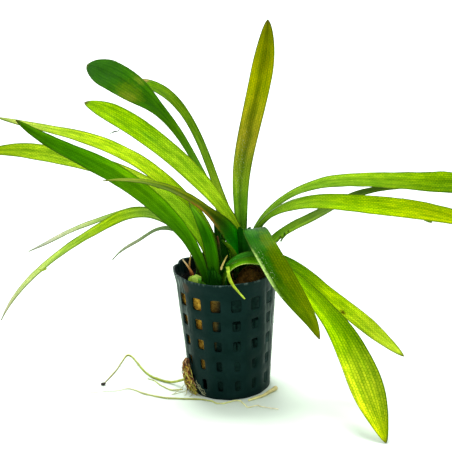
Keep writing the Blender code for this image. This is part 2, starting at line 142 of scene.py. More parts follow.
# Fine dry hairs that stand off the plug beside the lip at the right
WOOL_HAIR_RADIUS = 0.09
WOOL_HAIRS = (
    ((21.6, -5.0, 46.2), (23.7, -5.0, 45.6), (25.8, -5.0, 45.8)),
    ((21.4, -5.0, 31.7), (22.3, -5.0, 35.3), (23.2, -5.0, 39.4), (24.5, -5.0, 41.9), (25.6, -5.0, 44.1)),
)

# Crowns: (x, y), radius, underside and top
CROWN_FRONT = ((-7.8, -7.6), 8.0, 51.7, 54.6)
CROWN_BACK = ((10.2, 4.4), 9.6, 57.0, 58.6)
STUMP_SHARE = 0.8
STUMP_STEPS = 8
STUMP_SIDES = 40
STUMP_TINT = (0.02, 0.05, 0.004)
SCALE_STEPS = 12
SCALE_REACH = 9.0
SCALE_FOOT_TINT = (0.004, 0.04, 0.001)
SCALE_TIP_TINT = (0.01, 0.08, 0.001)
FRONT_LEAVES = ("leaf_long_left", "leaf_dark_left", "leaf_low_left", "leaf_short", "leaf_thin_left",
                "leaf_drooping_left", "leaf_thin_short", "leaf_torn_right", "leaf_broad_right")
BACK_LEAVES = ("leaf_upright", "leaf_paddle", "leaf_behind_paddle", "leaf_wide_left", "leaf_edge_on",
               "leaf_top_right", "leaf_long_right", "leaf_shaded_right", "leaf_hidden_right", "leaf_folded")

# Broad clasping leaf bases: middle, radius at the foot and at the top, height of the foot and of the top,
# compass direction that they face, sweep in degrees, and the tints of the foot and of the top
SHEATH_ROWS = 14
SHEATH_COLUMNS = 24
Sheath = namedtuple("Sheath", "middle radius top_radius low high towards sweep foot_tint top_tint")
SHEATHS = {
    "crown_front": (
        Sheath((-5.4, -11.0), 5.6, 1.6, 52.0, 70.0, -95, 190, (0.002, 0.03, 0), (0.003, 0.05, 0)),
        Sheath((-7.4, -9.0), 6.4, 3.2, 52.0, 67.0, -150, 150, (0.002, 0.03, 0), (0.006, 0.07, 0.001)),
        Sheath((-2.2, -7.9), 4.4, 2.2, 52.5, 69.0, -80, 200, (0.002, 0.035, 0), (0.004, 0.05, 0)),
        # This dark sheath fills the shaded gap between the brown sheath and the small petiole: painted shade.
        Sheath((-0.6, -2.0), 3.6, 2.0, 53.0, 78.0, -80, 200, (0.002, 0.03, 0), (0.006, 0.06, 0.001)),
        Sheath((-0.9, 0.2), 3.8, 3.6, 53.0, 90.0, 215, 160, (0.002, 0.03, 0), (0.01, 0.07, 0.001)),
    ),
    "crown_back": (
        Sheath((9.2, 2.4), 5.0, 3.8, 57.2, 84.0, -100, 230, (0.002, 0.04, 0), (0.003, 0.06, 0)),
        Sheath((13.0, 4.6), 5.0, 4.0, 57.2, 70.0, -60, 220, (0.006, 0.04, 0.001), (0.03, 0.13, 0.002)),
    ),
}
# Pale swellings: place, radius and tint
LUMPS = {
    "crown_front": (
        ((-13.4, -11.8, 59.0), 2.5, (0.26, 0.42, 0.05)),
        ((-11.4, -13.2, 58.0), 2.4, (0.06, 0.22, 0.01)),
        ((-15.2, -10.2, 58.2), 2.3, (0.18, 0.28, 0.02)),
    ),
    "crown_back": (),
}

# Dry and torn bits: narrow strips through a few points in mm. side is the direction of their width and
# stops are tints at equal steps along them.
STRIP_STEPS = 28
STRIP_NARROWING = 0.6
Strip = namedtuple("Strip", "name points width thickness side slot stops")
STRIPS = (
    Strip("torn_sheath", ((0.4, -15.4, 66.2), (1.0, -19.5, 67.4), (1.2, -23.4, 67.0), (1.4, -25.7, 65.7),
                          (2.1, -26.7, 63.6), (3.5, -26.9, 61.0), (5.2, -26.9, 58.6),
                          (8.2, -26.6, 54.6)), 1.6, 0.5, (1, 0, 0.3), "torn_leaf",
          ((0.14, 0.26, 0.01), (0.24, 0.35, 0.02), (0.29, 0.39, 0.02), (0.38, 0.50, 0.05))),
    Strip("small_petiole", ((4.6, -6.2, 55.9), (4.9, -6.0, 62.0), (4.7, -6.0, 66.9), (3.3, -6.5, 70.9),
                            (0.9, -7.4, 74.3), (-1.4, -8.4, 76.9)), 2.6, 0.8, (1, -0.2, 0.2), "leaf_fresh",
          ((0.01, 0.04, 0.00), (0.02, 0.07, 0.00), (0.05, 0.12, 0.00), (0.01, 0.05, 0.00))),
    Strip("brown_sheath", ((-3.8, -9.7, 55.2), (-2.9, -9.8, 60.0), (-2.2, -9.9, 66.0), (-2.5, -10.0, 71.0),
                           (-2.8, -9.9, 75.5), (-3.2, -10.1, 79.5)), 1.8, 0.5, (1, 0.1, 0), "dead_leaf",
          ((0.06, 0.02, 0.004), (0.02, 0.03, 0.002), (0.01, 0.03, 0.002), (0.08, 0.03, 0.01))),
    Strip("straw_sliver", ((-2.2, -15.9, 65.2), (-1.0, -15.9, 68.2), (1.1, -15.0, 71.8)),
          0.9, 0.4, (1, 0, -0.4), "dry_leaf", ((0.58, 0.50, 0.16), (0.52, 0.40, 0.12), (0.26, 0.24, 0.04))),
    Strip("dry_sliver_left", ((-14.9, -7.8, 55.5), (-15.4, -7.5, 60.0), (-16.5, -6.4, 61.9),
                              (-18.1, -4.6, 64.0), (-19.9, -2.6, 65.9)), 1.1, 0.4, (0.9, 0, 0.4), "dry_leaf",
          ((0.05, 0.02, 0.01), (0.24, 0.08, 0.02), (0.42, 0.24, 0.08), (0.60, 0.50, 0.30))),
    Strip("dry_sliver_right", ((-15.6, -4.6, 55.5), (-16.5, -4.6, 60.0), (-16.9, -4.0, 62.4),
                               (-16.5, -2.6, 65.5), (-15.9, -1.0, 69.1)), 1.0, 0.4, (1, 0, 0.1), "dry_leaf",
          ((0.05, 0.02, 0.01), (0.22, 0.07, 0.02), (0.38, 0.22, 0.06), (0.50, 0.42, 0.16))),
)

# Roots: x, y and height of the underside along the route, radius at the start and at the tip, steps for a
# third of the rings, number of fine hairs, slot, tints at equal steps, and how thin the start is
Root = namedtuple("Root", "name points radius tip_radius steps hairs slot stops start", defaults=(1.0,))
ROOTS = (
    Root("root_long", ((-22.0, -3.8, 3.9), (-28.5, 1.0, 0.4), (-36, 6.2, 0), (-41, 13, 0), (-44, 19.5, 0),
                       (-47.5, 29, 0), (-50, 34.6, 0), (-52.4, 35.4, 0), (-54.4, 28, 0), (-57, 17.5, 0),
                       (-61.6, 4.3, 0)), 0.62, 0.3, 26, 14, "pale_root",
         ((0.32, 0.38, 0.05), (0.24, 0.30, 0.03), (0.36, 0.38, 0.10), (0.22, 0.20, 0.08))),
    Root("root_second", ((-23.0, -8.0, 0.6), (-29, -6.0, 0), (-34.4, 0.2, 0), (-37, 4.8, 0),
                         (-40.4, 7.4, 0)), 0.35, 0.25, 12, 5, "pale_root",
         ((0.40, 0.40, 0.14), (0.36, 0.40, 0.12), (0.50, 0.54, 0.24))),
    Root("root_front", ((-68, -5.3, 0), (-55, -4.5, 0), (-50.5, -2.7, 0), (-46.6, -4.6, 0), (-40, -10.2, 0),
                        (-31.4, -14.6, 0), (-22.4, -16.6, 0), (-14.7, -17.8, 0), (-9.7, -19.8, 0),
                        (-6.5, -22.6, 0), (-2.7, -22.9, 0), (1.0, -20.7, 0), (4.2, -21.0, 0),
                        (6.1, -24.3, 0), (8, -28, 0), (11.6, -26.4, 0), (15, -28, 0), (22, -31, 0)),
         0.52, 0.22, 40, 12, "pale_root",
         ((0.80, 0.80, 0.70), (0.42, 0.44, 0.18), (0.30, 0.34, 0.08), (0.62, 0.66, 0.26), (0.72, 0.72, 0.36),
          (0.74, 0.70, 0.48)), 0.35),
    Root("root_stub", ((8.3, -21.2, 0), (14.8, -17.4, 0), (19, -13.4, 0), (22, -10.2, 0)),
         0.5, 1.15, 8, 0, "tan_root", ((0.62, 0.60, 0.24), (0.50, 0.46, 0.18), (0.50, 0.44, 0.20))),
)
ROOT_UNEVEN = 0.18
ROOT_WOBBLE = 0.35
ROOT_HAIR_RADII = (0.07, 0.06, 0.04)

# The dark grain on the long root and the pad of old roots against the pot
GRAIN_PLACE = (-62.0, 2.4)
GRAIN_RADIUS = 1.1
GRAIN_SHAPE = (1.2, 0.9, 0.7)
MAT_ANGLE = math.radians(66)
MAT_FOOT = 0.4
MAT_TOP = 18.0
MAT_WIDTH = 5.4
MAT_THICKNESS = 2.6
MAT_WALL_GAP = 0.65
MAT_LEAN = 0.10
MAT_FOOT_SPREAD = 1.6
MAT_SEED = 29
MAT_STRANDS = 230
MAT_STRAND_STEPS = 20
MAT_STRAND_RADII = (0.10, 0.14, 0.18, 0.28)
MAT_END_RADII = (0.12,) * 8 + (0.06,)
MAT_PALE_FIBRES = 5
MAT_PALE_RADII = (0.09,) * 8 + (0.05,)
# The near-black last tint of each set is painted shade for the holes in the pad.
MAT_TOP_TINTS = ((0.22, 0.07, 0.02), (0.32, 0.12, 0.03), (0.10, 0.04, 0.02), (0.42, 0.26, 0.12),
                 (0.03, 0.02, 0.01))
MAT_FOOT_TINTS = ((0.46, 0.30, 0.03), (0.56, 0.50, 0.10), (0.18, 0.09, 0.02), (0.26, 0.27, 0.04),
                  (0.04, 0.03, 0.01))
MAT_LOOSE_TINT = (0.36, 0.36, 0.10)
MAT_PALE_TINT = (0.30, 0.32, 0.18)
# Loose ends of the pad: compass heading and length
MAT_LOOSE_ENDS = ((190, 9), (215, 8), (250, 5), (285, 6), (330, 6))

# Leaves
LEAF_LEAST_STRIDES = 64
LEAF_FOOT_THICKNESS = 1.5
LEAF_RIB_THICKNESS = 0.55
LEAF_EDGE_THICKNESS = 0.22
LEAF_FOOT_SHARE = 0.3
LEAF_TIP_WIDTH = 0.5
LEAF_RING_SPACING = 1.0
LEAF_COLUMNS = 20
LEAF_VEINS = 7
LEAF_VEIN_HEIGHT = 0.05
LEAF_WAVE = 0.22
LEAF_RUFFLE = 0.30
LEAF_PATCHES = 0.28
LEAF_FLECKS = 0.25
LEAF_YELLOWING = 1.3
LEAF_MARGIN = 0.8
LEAF_MARGIN_TINT = (0.03, 0.06, 0.004)
LEAF_TIP_TINT = (0.08, 0.06, 0.01)

# The course of each leaf: its foot and length, and at equal steps from foot to tip the midrib's rise above
# level, its compass heading, the twist and the width. tip is the share of the length that closes the tip,
# and keel how far the two halves are folded up, in degrees.
Leaf = namedtuple("Leaf", "name foot length rise heading twist width tip keel")
LEAVES = (
    Leaf("leaf_upright", (7.7, 9.2, 58.9), 116, (86, 89, 72, 72, 85), (40, 40, 40),
         (40, 40, 45), (3.6, 6.2, 8.6, 10.0, 10.4, 9.2), 0.22, 6),
    Leaf("leaf_paddle", (2.8, 7.4, 58.9), 151, (94, 58, 46, 22, 10, 1), (140, 132, 128, 126),
         (-25, -30, -45, -50), (3.2, 3.6, 3.4, 3.8, 6.4, 13.6, 15.0, 12.8), 0.14, 5),
    Leaf("leaf_behind_paddle", (10.5, 12.5, 58.9), 121, (59, 57, 62, 48, 16, -14), (130, 130, 134, 140),
         (-25, -30, -35), (3.0, 4.0, 4.0, 4.2, 5.8, 6.4), 0.25, 6),
    Leaf("leaf_wide_left", (11.2, 3.8, 58.9), 121, (84, 51, 36, 24, 7), (161, 152, 148, 145),
         (-45, -45, -40), (3.6, 5.2, 8.4, 9.8, 10.4, 8.4), 0.16, 6),
    Leaf("leaf_long_left", (-5.0, -5.9, 54.9), 142, (106, 52, 41, 24, 13, 14), (106, 157, 171, 172),
         (-30, -40, -40), (3.4, 5.6, 7.6, 7.2, 6.8, 4.0, 2.6), 0.12, 6),
    Leaf("leaf_dark_left", (-9.0, -13.4, 54.9), 126, (86, 57, 43, 32, 43), (190, 199, 199, 196),
         (-60, -60, -60), (3.6, 6.4, 9.2, 9.6, 7.4, 6.6), 0.30, 6),
    Leaf("leaf_low_left", (-6.7, -9.1, 54.9), 142, (99, 60, 35, 18, 10, -17), (170, 178, 178, 180),
         (-50, -50, -45), (3.4, 7.2, 7.8, 8.0, 8.2, 5.2), 0.25, 6),
    Leaf("leaf_short", (-5.2, -12.6, 54.9), 46, (88, 84, 69, 57), (200, 205, 208),
         (55, 55, 55), (4.4, 6.2, 5.6, 3.6), 0.45, 8),
    Leaf("leaf_edge_on", (5.9, -0.9, 58.9), 96, (103, 58, 45, 31, 19, 7), (204, 209, 212, 213),
         (-70, -60, -30, -15), (6.0, 9.8, 5.2, 5.4, 4.2, 2.6), 0.30, 10),
    Leaf("leaf_thin_left", (-11.0, -3.5, 54.9), 112, (88, 61, 30, -16, -21, -28, -26), (165, 165, 165),
         (-20, -30, -40), (2.6, 3.6, 3.8, 3.0, 2.8, 1.6), 0.15, 8),
    Leaf("leaf_drooping_left", (-12.5, -6.5, 54.9), 137, (97, 64, 29, -22, -30, -37, -47, -63),
         (172, 178, 180, 184), (-50, -50, -50), (2.8, 3.4, 5.4, 3.8, 2.8, 1.6), 0.15, 6),
    Leaf("leaf_thin_short", (-8.5, -0.5, 54.9), 73, (56, 67, 10, -33, -32, -50), (150, 150, 150),
         (-30, -30, -30), (2.4, 2.8, 2.6, 2.8, 1.8), 0.15, 8),
    Leaf("leaf_top_right", (11.5, 8.2, 58.9), 148, (93, 38, 2, -8, -8, -20), (18, 16, 11, 12),
         (40, 40, 45), (3.0, 3.2, 3.6, 6.8, 8.6, 10.6, 12.4, 8.8), 0.22, 8),
    Leaf("leaf_long_right", (14.4, 2.6, 58.9), 140, (119, 35, -4, -8, -13, -19), (4, 3, -2, -5),
         (45, 45, 45), (3.0, 2.2, 6.6, 9.2, 10.0, 8.4, 6.0), 0.25, 6),
    Leaf("leaf_shaded_right", (14.5, 12.0, 58.9), 108, (43, 11, 12, -5, -15), (35, 35, 35),
         (35, 40, 45), (3.0, 4.8, 4.2, 3.2, 2.4), 0.20, 8),
    Leaf("leaf_hidden_right", (16.2, 5.6, 58.9), 113, (126, 46, 2, -12, -12, -48), (18, 12, 12, 13),
         (40, 45, 45), (3.0, 2.8, 6.8, 8.4, 9.0), 0.2, 6),
    Leaf("leaf_folded", (13.6, -2.2, 58.9), 95, (110, 86, 10, -14, -45, -46, -40, -51),
         (-68, -83, -44, -59), (0, 1, 22, 15), (4.2, 6.6, 11.6, 11.8, 12.4, 9.0, 5.6), 0.22, 6),
    Leaf("leaf_torn_right", (-1.2, -10.3, 54.9), 108, (97, 11, -25, -38, -28, -30, -27),
         (8, 4, -22, -35, -38), (30, 30, 30), (3.6, 7.0, 8.6, 8.6, 8.2, 6.8), 0.25, 5),
    Leaf("leaf_broad_right", (-1.2, -14.2, 54.9), 131, (97, -2, -38, -32, -43, -50, -54),
         (5, -10, -50, -62, -67), (15, 20, 30, 30), (3.6, 5.6, 8.0, 9.6, 13.8, 15.4, 10.4), 0.25, 10),
)

# How each leaf looks. stops are colours at equal steps from the foot to the tip; near-black ones at the foot
# are painted shade within the crown. halves are the brightness at the two margins, painted light and shade on
# the two halves, and midline that along the middle. spots are (share of the length, place across from -1 to
# 1, half length in mm, half width as a share, colour, strength), and glints, painted highlight streaks, are
# (share of the length, place across, half length in mm, half width, strength).
Look = namedtuple("Look", "slot halves midline stops spots glints", defaults=((), ()))
LOOKS = {
    "leaf_upright": Look(
        "leaf_olive", (1.15, 1.4), 0.75,
        ((0.04, 0.19, 0.01), (0.12, 0.29, 0.01), (0.19, 0.21, 0.01), (0.24, 0.28, 0), (0.12, 0.14, 0)),
        spots=((0.62, 0.1, 20, 0.45, (0.11, 0.12, 0), 0.35), (0.86, -0.1, 12, 0.5, (0.1, 0.12, 0), 0.35)),
        glints=((0.4, 0.35, 22, 0.7, 0.9),)),
    "leaf_paddle": Look(
        "leaf_dark", (1.2, 1), 0.9,
        ((0.55, 0.95, 0), (0.13, 0.31, 0.01), (0.03, 0.11, 0), (0.02, 0.1, 0), (0.01, 0.07, 0)),
        spots=((0.72, 0.45, 13, 0.9, (0.09, 0.16, 0), 0.5), (0.71, 0.65, 8, 0.4, (0.16, 0.18, 0.01), 0.4),
               (0.72, -0.75, 6, 0.3, (0.14, 0.2, 0.01), 0.5))),
    "leaf_behind_paddle": Look(
        "leaf_fresh", (0.95, 1), 1,
        ((0.09, 0.16, 0.01), (0.26, 0.4, 0.02), (0.12, 0.26, 0.01), (0.09, 0.2, 0), (0.12, 0.4, 0)),
        spots=((0.9, -0.5, 4, 0.6, (0.55, 0.35, 0.15), 0.6),)),
    "leaf_wide_left": Look(
        "leaf_bright", (1.05, 1.1), 1,
        ((0.02, 0.08, 0), (0.3, 0.5, 0.01), (0.27, 0.47, 0.01), (0.23, 0.44, 0), (0.19, 0.37, 0)),
        spots=((1, 0, 2.6, 1, (0.1, 0.07, 0.02), 0.85), (0.66, 0.1, 9, 0.35, (0.13, 0.36, 0.01), 0.4))),
    "leaf_long_left": Look(
        "leaf_bright", (1.05, 1), 0.95,
        ((0.02, 0.08, 0), (0.15, 0.31, 0), (0.4, 0.59, 0.01), (0.41, 0.58, 0.02), (0.36, 0.45, 0.12))),
    "leaf_dark_left": Look(
        "leaf_dark", (1.55, 0.95), 0.95,
        ((0, 0.04, 0), (0.04, 0.17, 0), (0.07, 0.23, 0), (0.03, 0.15, 0), (0.04, 0.14, 0))),
    "leaf_low_left": Look(
        "leaf_bright", (1.05, 1.05), 0.9,
        ((0.06, 0.16, 0), (0.28, 0.55, 0.01), (0.36, 0.52, 0.02), (0.29, 0.46, 0.01), (0.16, 0.25, 0))),
    "leaf_short": Look(
        "leaf_dark", (1.05, 1.45), 0.8,
        ((0, 0.01, 0), (0.02, 0.12, 0), (0.02, 0.12, 0), (0.13, 0.36, 0.01))),
    "leaf_edge_on": Look(
        "leaf_olive", (1.7, 1.2), 0.85,
        ((0, 0.39, 0), (0.01, 0.07, 0), (0.07, 0.11, 0), (0.07, 0.13, 0), (0.24, 0.31, 0.03)),
        spots=((0.42, 0.8, 16, 0.5, (0.22, 0.11, 0.01), 0.7),)),
    "leaf_thin_left": Look(
        "leaf_pale", (1.1, 1), 0.85,
        ((0.01, 0.1, 0), (0.04, 0.15, 0.01), (0.22, 0.4, 0.02), (0.44, 0.52, 0.26), (0.59, 0.58, 0.55))),
    "leaf_drooping_left": Look(
        "leaf_bright", (1.2, 0.95), 0.95,
        ((0, 0.01, 0), (0.19, 0.34, 0.05), (0.29, 0.46, 0.01), (0.5, 0.65, 0.17), (0.68, 0.65, 0.5))),
    "leaf_thin_short": Look(
        "leaf_pale", (1.2, 1), 0.8,
        ((0.01, 0.1, 0), (0.04, 0.15, 0.01), (0.13, 0.21, 0.08), (0.26, 0.31, 0.18), (0.28, 0.32, 0.24))),
    "leaf_top_right": Look(
        "leaf_bright", (0.9, 1.35), 0.95,
        ((0.12, 0.28, 0.02), (0.16, 0.33, 0.02), (0.2, 0.38, 0.01), (0.14, 0.28, 0), (0.13, 0.25, 0))),
    "leaf_long_right": Look(
        "leaf_bright", (1.15, 0.9), 0.9,
        ((0.01, 0.09, 0), (0.14, 0.29, 0.01), (0.26, 0.45, 0), (0.29, 0.41, 0), (0.22, 0.32, 0)),
        # The pale spot along the upper margin is a painted highlight.
        spots=((0.22, 0.95, 20, 0.12, (0.5, 0.66, 0.36), 0.5),)),
    "leaf_shaded_right": Look(
        "leaf_dark", (1.3, 0.85), 0.95,
        ((0.07, 0.2, 0), (0.1, 0.21, 0.01), (0.07, 0.13, 0.02), (0.02, 0.05, 0), (0.07, 0.13, 0.01))),
    "leaf_hidden_right": Look(
        "leaf_dark", (1, 1), 0.9,
        ((0.02, 0.1, 0), (0.05, 0.18, 0.01), (0.1, 0.25, 0.01), (0.12, 0.27, 0.01), (0.12, 0.27, 0.01))),
    "leaf_folded": Look(
        "leaf_olive", (0.85, 1.2), 0.9,
        ((0.32, 0.95, 0), (0.01, 0.1, 0), (0.01, 0.1, 0), (0.02, 0.09, 0), (0.07, 0.14, 0),
         (0.12, 0.16, 0)),
        # The pale strip along the left margin and the small grey-green spot at the fold are painted
        # highlights.
        spots=((0.6, -0.96, 14, 0.2, (0.38, 0.58, 0.16), 0.85),
               (0.33, -0.3, 5, 0.8, (0.03, 0.16, 0), 0.6), (0.24, 0.2, 1.2, 0.6, (0.3, 0.42, 0.3), 0.7),
               (0.62, 0.6, 34, 0.8, (0.1, 0.14, 0), 0.6)),
        glints=((0.58, -0.62, 13, 0.4, 0.9), (0.26, 0, 2.5, 0.9, 0.8))),
    "leaf_torn_right": Look(
        "leaf_bright", (0.9, 1), 1,
        ((0.05, 0.45, 0), (0.03, 0.16, 0.01), (0.09, 0.23, 0), (0.29, 0.47, 0), (0.35, 0.49, 0.01),
         (0.39, 0.54, 0.03)),
        spots=((0.68, -0.55, 2.2, 0.28, (0.05, 0.03, 0), 0.9),),
        glints=((0.1, 0.3, 6, 0.7, 0.9),)),
    "leaf_broad_right": Look(
        "leaf_bright", (1.45, 0.65), 0.9,
        ((0, 0, 0), (0.1, 0.33, 0), (0.23, 0.43, 0), (0.2, 0.38, 0), (0.38, 0.5, 0.01), (0.37, 0.48, 0)),
        spots=((0.13, -1, 14, 0.22, (0.4, 0.6, 0.1), 0.9),),
        glints=((0.09, 0.6, 5, 0.6, 0.9),)),
}

# Fine fibres and torn bits that hang on the leaves: places in mm, radius at each place, and tint
Bit = namedtuple("Bit", "points radii tint")
BITS = {
    "leaf_wide_left": (
        Bit(((-47.1, 32.4, 120.9), (-48.8, 32.4, 119.6), (-50.5, 32.4, 119.4), (-53.2, 32.4, 118.3)),
            (0.08, 0.22, 0.36, 0.06), (0.06, 0.07, 0.07)),
    ),
    "leaf_hidden_right": (
        Bit(((82.7, 22.6, 82.8), (86.6, 22.6, 82.8), (90.0, 22.6, 81.9)),
            (0.3, 0.6, 0.3), (0.01, 0.05, 0.00)),
    ),
    "leaf_shaded_right": (
        Bit(((31.4, 22.0, 69.7), (29.2, 22.0, 66.7), (26.4, 22.0, 63.4)),
            (0.3, 0.5, 0.1), (0.09, 0.14, 0.01)),
        Bit(((29.4, 20.4, 69.0), (28.1, 20.4, 66.3), (27.3, 20.4, 64.2)),
            (0.4, 0.5, 0.1), (0.05, 0.11, 0.01)),
        Bit(((27.3, 18.6, 68.2), (26.1, 18.6, 66.0), (24.8, 18.6, 64.2)),
            (0.4, 0.4, 0.1), (0.09, 0.16, 0.01)),
    ),
    "leaf_drooping_left": (
        Bit(((-83.5, -5.4, 65.2), (-85.5, -5.4, 64.2), (-87.4, -5.4, 65.0)),
            (0.5, 0.4, 0.1), (0.28, 0.38, 0.04)),
    ),
}

# Materials. Leaf tissue: the ladder of cells between the veins, and the painted highlight streaks
CELL_ROWS = 11.0
CELL_SWAY = (1.6, 0.05, 0.0)
CELL_LIGHT = (1.42, 1.26, 1.5, 1.0)
CELL_DIM = (1.0, 1.02, 0.9, 1.0)
CELL_VEIN = (0.44, 0.62, 0.28, 1.0)
PAINTED_GLINT_TINT = (0.62, 0.72, 0.40, 1.0)
LEAF_SHEEN = (0.55, 1.0, 0.0, 1.0)
# For each kind of leaf: share of light through it, roughness, and how strongly the cells show
LEAF_TISSUES = {
    "leaf_bright": (0.35, 0.42, 0.8),
    "leaf_fresh": (0.30, 0.42, 0.8),
    "leaf_dark": (0.20, 0.38, 0.5),
    "leaf_olive": (0.25, 0.36, 0.6),
    "leaf_pale": (0.35, 0.45, 0.7),
}
# Painted highlights of the pot, in metres: from where to where they grow
POT_SHEEN = (0.4, 1.0, 0.85, 1.0)
POT_HIGHLIGHT_SIDES = (0.0165, 0.0210)
POT_HIGHLIGHT_FRONT = (-0.008, 0.002)
POT_HIGHLIGHT_LIP = (0.0596, 0.0606)
POT_HIGHLIGHT_TINT = (0.11, 0.15, 0.13, 1.0)
POT_SMUDGE_PLACE = (-0.0196, -0.0152, 0.0565)
POT_SMUDGE_REACH = (0.0032, 0.0044)
POT_SMUDGE_TINT = (0.035, 0.018, 0.008, 1.0)
# Where the growing medium changes colour, in metres: the bright fibre ends to the right, starts above the
# foot, and above the shoulder is only found close to the wall; elsewhere painted shade makes it near black,
# with a painted highlight at the right edge. The mouth has painted shade and is brown to its right.
WOOL_BRIGHT_SIDE = (-0.0180, -0.0088)
WOOL_BRIGHT_FOOT = (0.010, 0.018)
WOOL_BRIGHT_SHOULDER = (0.0440, 0.0445)
WOOL_BRIGHT_RADIUS = (0.0200, 0.0208)
WOOL_HIGHLIGHT_SIDE = (0.013, 0.021)
WOOL_HIGHLIGHT_TINT = (0.03, 0.055, 0.05, 1.0)
WOOL_MOUTH_LEVEL = (0.0525, 0.0535)
WOOL_MOUTH_SHADE_TINT = (0.006, 0.006, 0.005, 1.0)
WOOL_BROWN_SIDE = (-0.002, 0.003)
WHITE = (1.0, 1.0, 1.0, 1.0)
SHARP_ANGLE = math.radians(50)


def along(values, share):
    """The value at a share of the way through equally spaced values, on a smooth curve."""
    last = len(values) - 1
    place = min(max(share, 0.0), 1.0) * last
    index = min(int(place), last - 1)
    part = place - index
    second, third = values[index], values[index + 1]
    first = values[index - 1] if index > 0 else 2 * second - third
    fourth = values[index + 2] if index + 2 <= last else 2 * third - second
    return (second + 0.5 * part * (third - first
            + part * (2 * first - 5 * second + 4 * third - fourth
                      + part * (3 * (second - third) + fourth - first))))


def painted(stops, share):
    """The colour at a share of the way through equally spaced colours."""
    return [max(0.0, along(channel, share)) for channel in zip(*stops)]


def mixed(first, second, share):
    return [a + (b - a) * share for a, b in zip(first, second)]


def smooth_step(low, high, value):
    share = min(max((value - low) / (high - low), 0.0), 1.0)
    return share * share * (3 - 2 * share)


def round_angles(count):
    return [math.tau * number / count for number in range(count)]


def section(steps):
    """Round a flat blade: (1, across) from -1 to 1 on its upper side, then (-1, across) back below."""
    places = [2.0 * step / steps - 1.0 for step in range(steps + 1)]
    return [(1, across) for across in places] + [(-1, across) for across in reversed(places)]


def ball(levels, sides, place_at):
    """Rings from the underside to the top of a round body. place_at gives the place in a direction."""
    rings = []
    for level in range(1, levels):
        rise = math.pi * level / levels
        rings.append([place_at(Vector((math.sin(rise) * math.cos(angle), math.sin(rise) * math.sin(angle),
                                       -math.cos(rise)))) for angle in round_angles(sides)])
    return rings


class Body:
    """Points in mm and faces. A painted body also has a tint for each point, a leaf has its uvs."""

    def __init__(self):
        self.points, self.faces, self.tints, self.uvs = [], [], [], []

    def paint(self, tint):
        """Gives the tint to the points that have none yet."""
        self.tints += [tint] * (len(self.points) - len(self.tints))

    def skin(self, rings):
        """Adds a closed skin through rings with the same number of points."""
        start, sides = len(self.points), len(rings[0])
        for ring in rings:
            self.points.extend(ring)
        last = len(self.points) - sides
        for low in range(start, last, sides):
            for side in range(sides):
                after = (side + 1) % sides
                self.faces.append((low + side, low + after, low + sides + after, low + sides + side))
        self.faces.append(tuple(start + side for side in reversed(range(sides))))
        self.faces.append(tuple(last + side for side in range(sides)))

    def tube(self, route, radii, sides=6):
        """Adds a closed round tube along a route."""
        last = len(route) - 1
        angles = [math.tau * (corner + 0.5) / sides for corner in range(sides)]
        rings = []
        for step, middle in enumerate(route):
            forward = route[min(step + 1, last)] - route[max(step - 1, 0)]
            side = forward.cross(UP)
            if side.length < 1e-4:
                side = forward.cross(Vector((1, 0, 0)))
            side.normalize()
            over = side.cross(forward).normalized()
            rings.append([middle + (side * math.cos(angle) + over * math.sin(angle)) * radii[step]
                          for angle in angles])
        self.skin(rings)


def add_piece(name, body, material, nodes, tidy=False):
    """Makes a mesh in metres from a body and lets it stand for its solid."""
    mesh = bpy.data.meshes.new(name)
    mesh.from_pydata([Vector(point) * MM for point in body.points], [], body.faces)
    mesh.validate()
    if tidy:
        turned = bmesh.new()
        turned.from_mesh(mesh)
        bmesh.ops.recalc_face_normals(turned, faces=turned.faces)
        turned.to_mesh(mesh)
        turned.free()
    if body.uvs:
        layer = mesh.uv_layers.new(name="blade")
        corners = [0] * len(mesh.loops)
        mesh.loops.foreach_get("vertex_index", corners)
        layer.data.foreach_set("uv", [part for corner in corners for part in body.uvs[corner]])
    if body.tints:
        layer = mesh.color_attributes.new("tint", "FLOAT_COLOR", "POINT")
        layer.data.foreach_set("color", [part for tint in body.tints for part in (*tint, 1.0)[:4]])
    piece = bpy.data.objects.new(name, mesh)
    bpy.context.collection.objects.link(piece)
    mesh.materials.append(material)
    mesh.shade_smooth()
    mesh.set_sharp_from_angle(angle=SHARP_ANGLE)
    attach(piece, "root")
    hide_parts(*nodes)


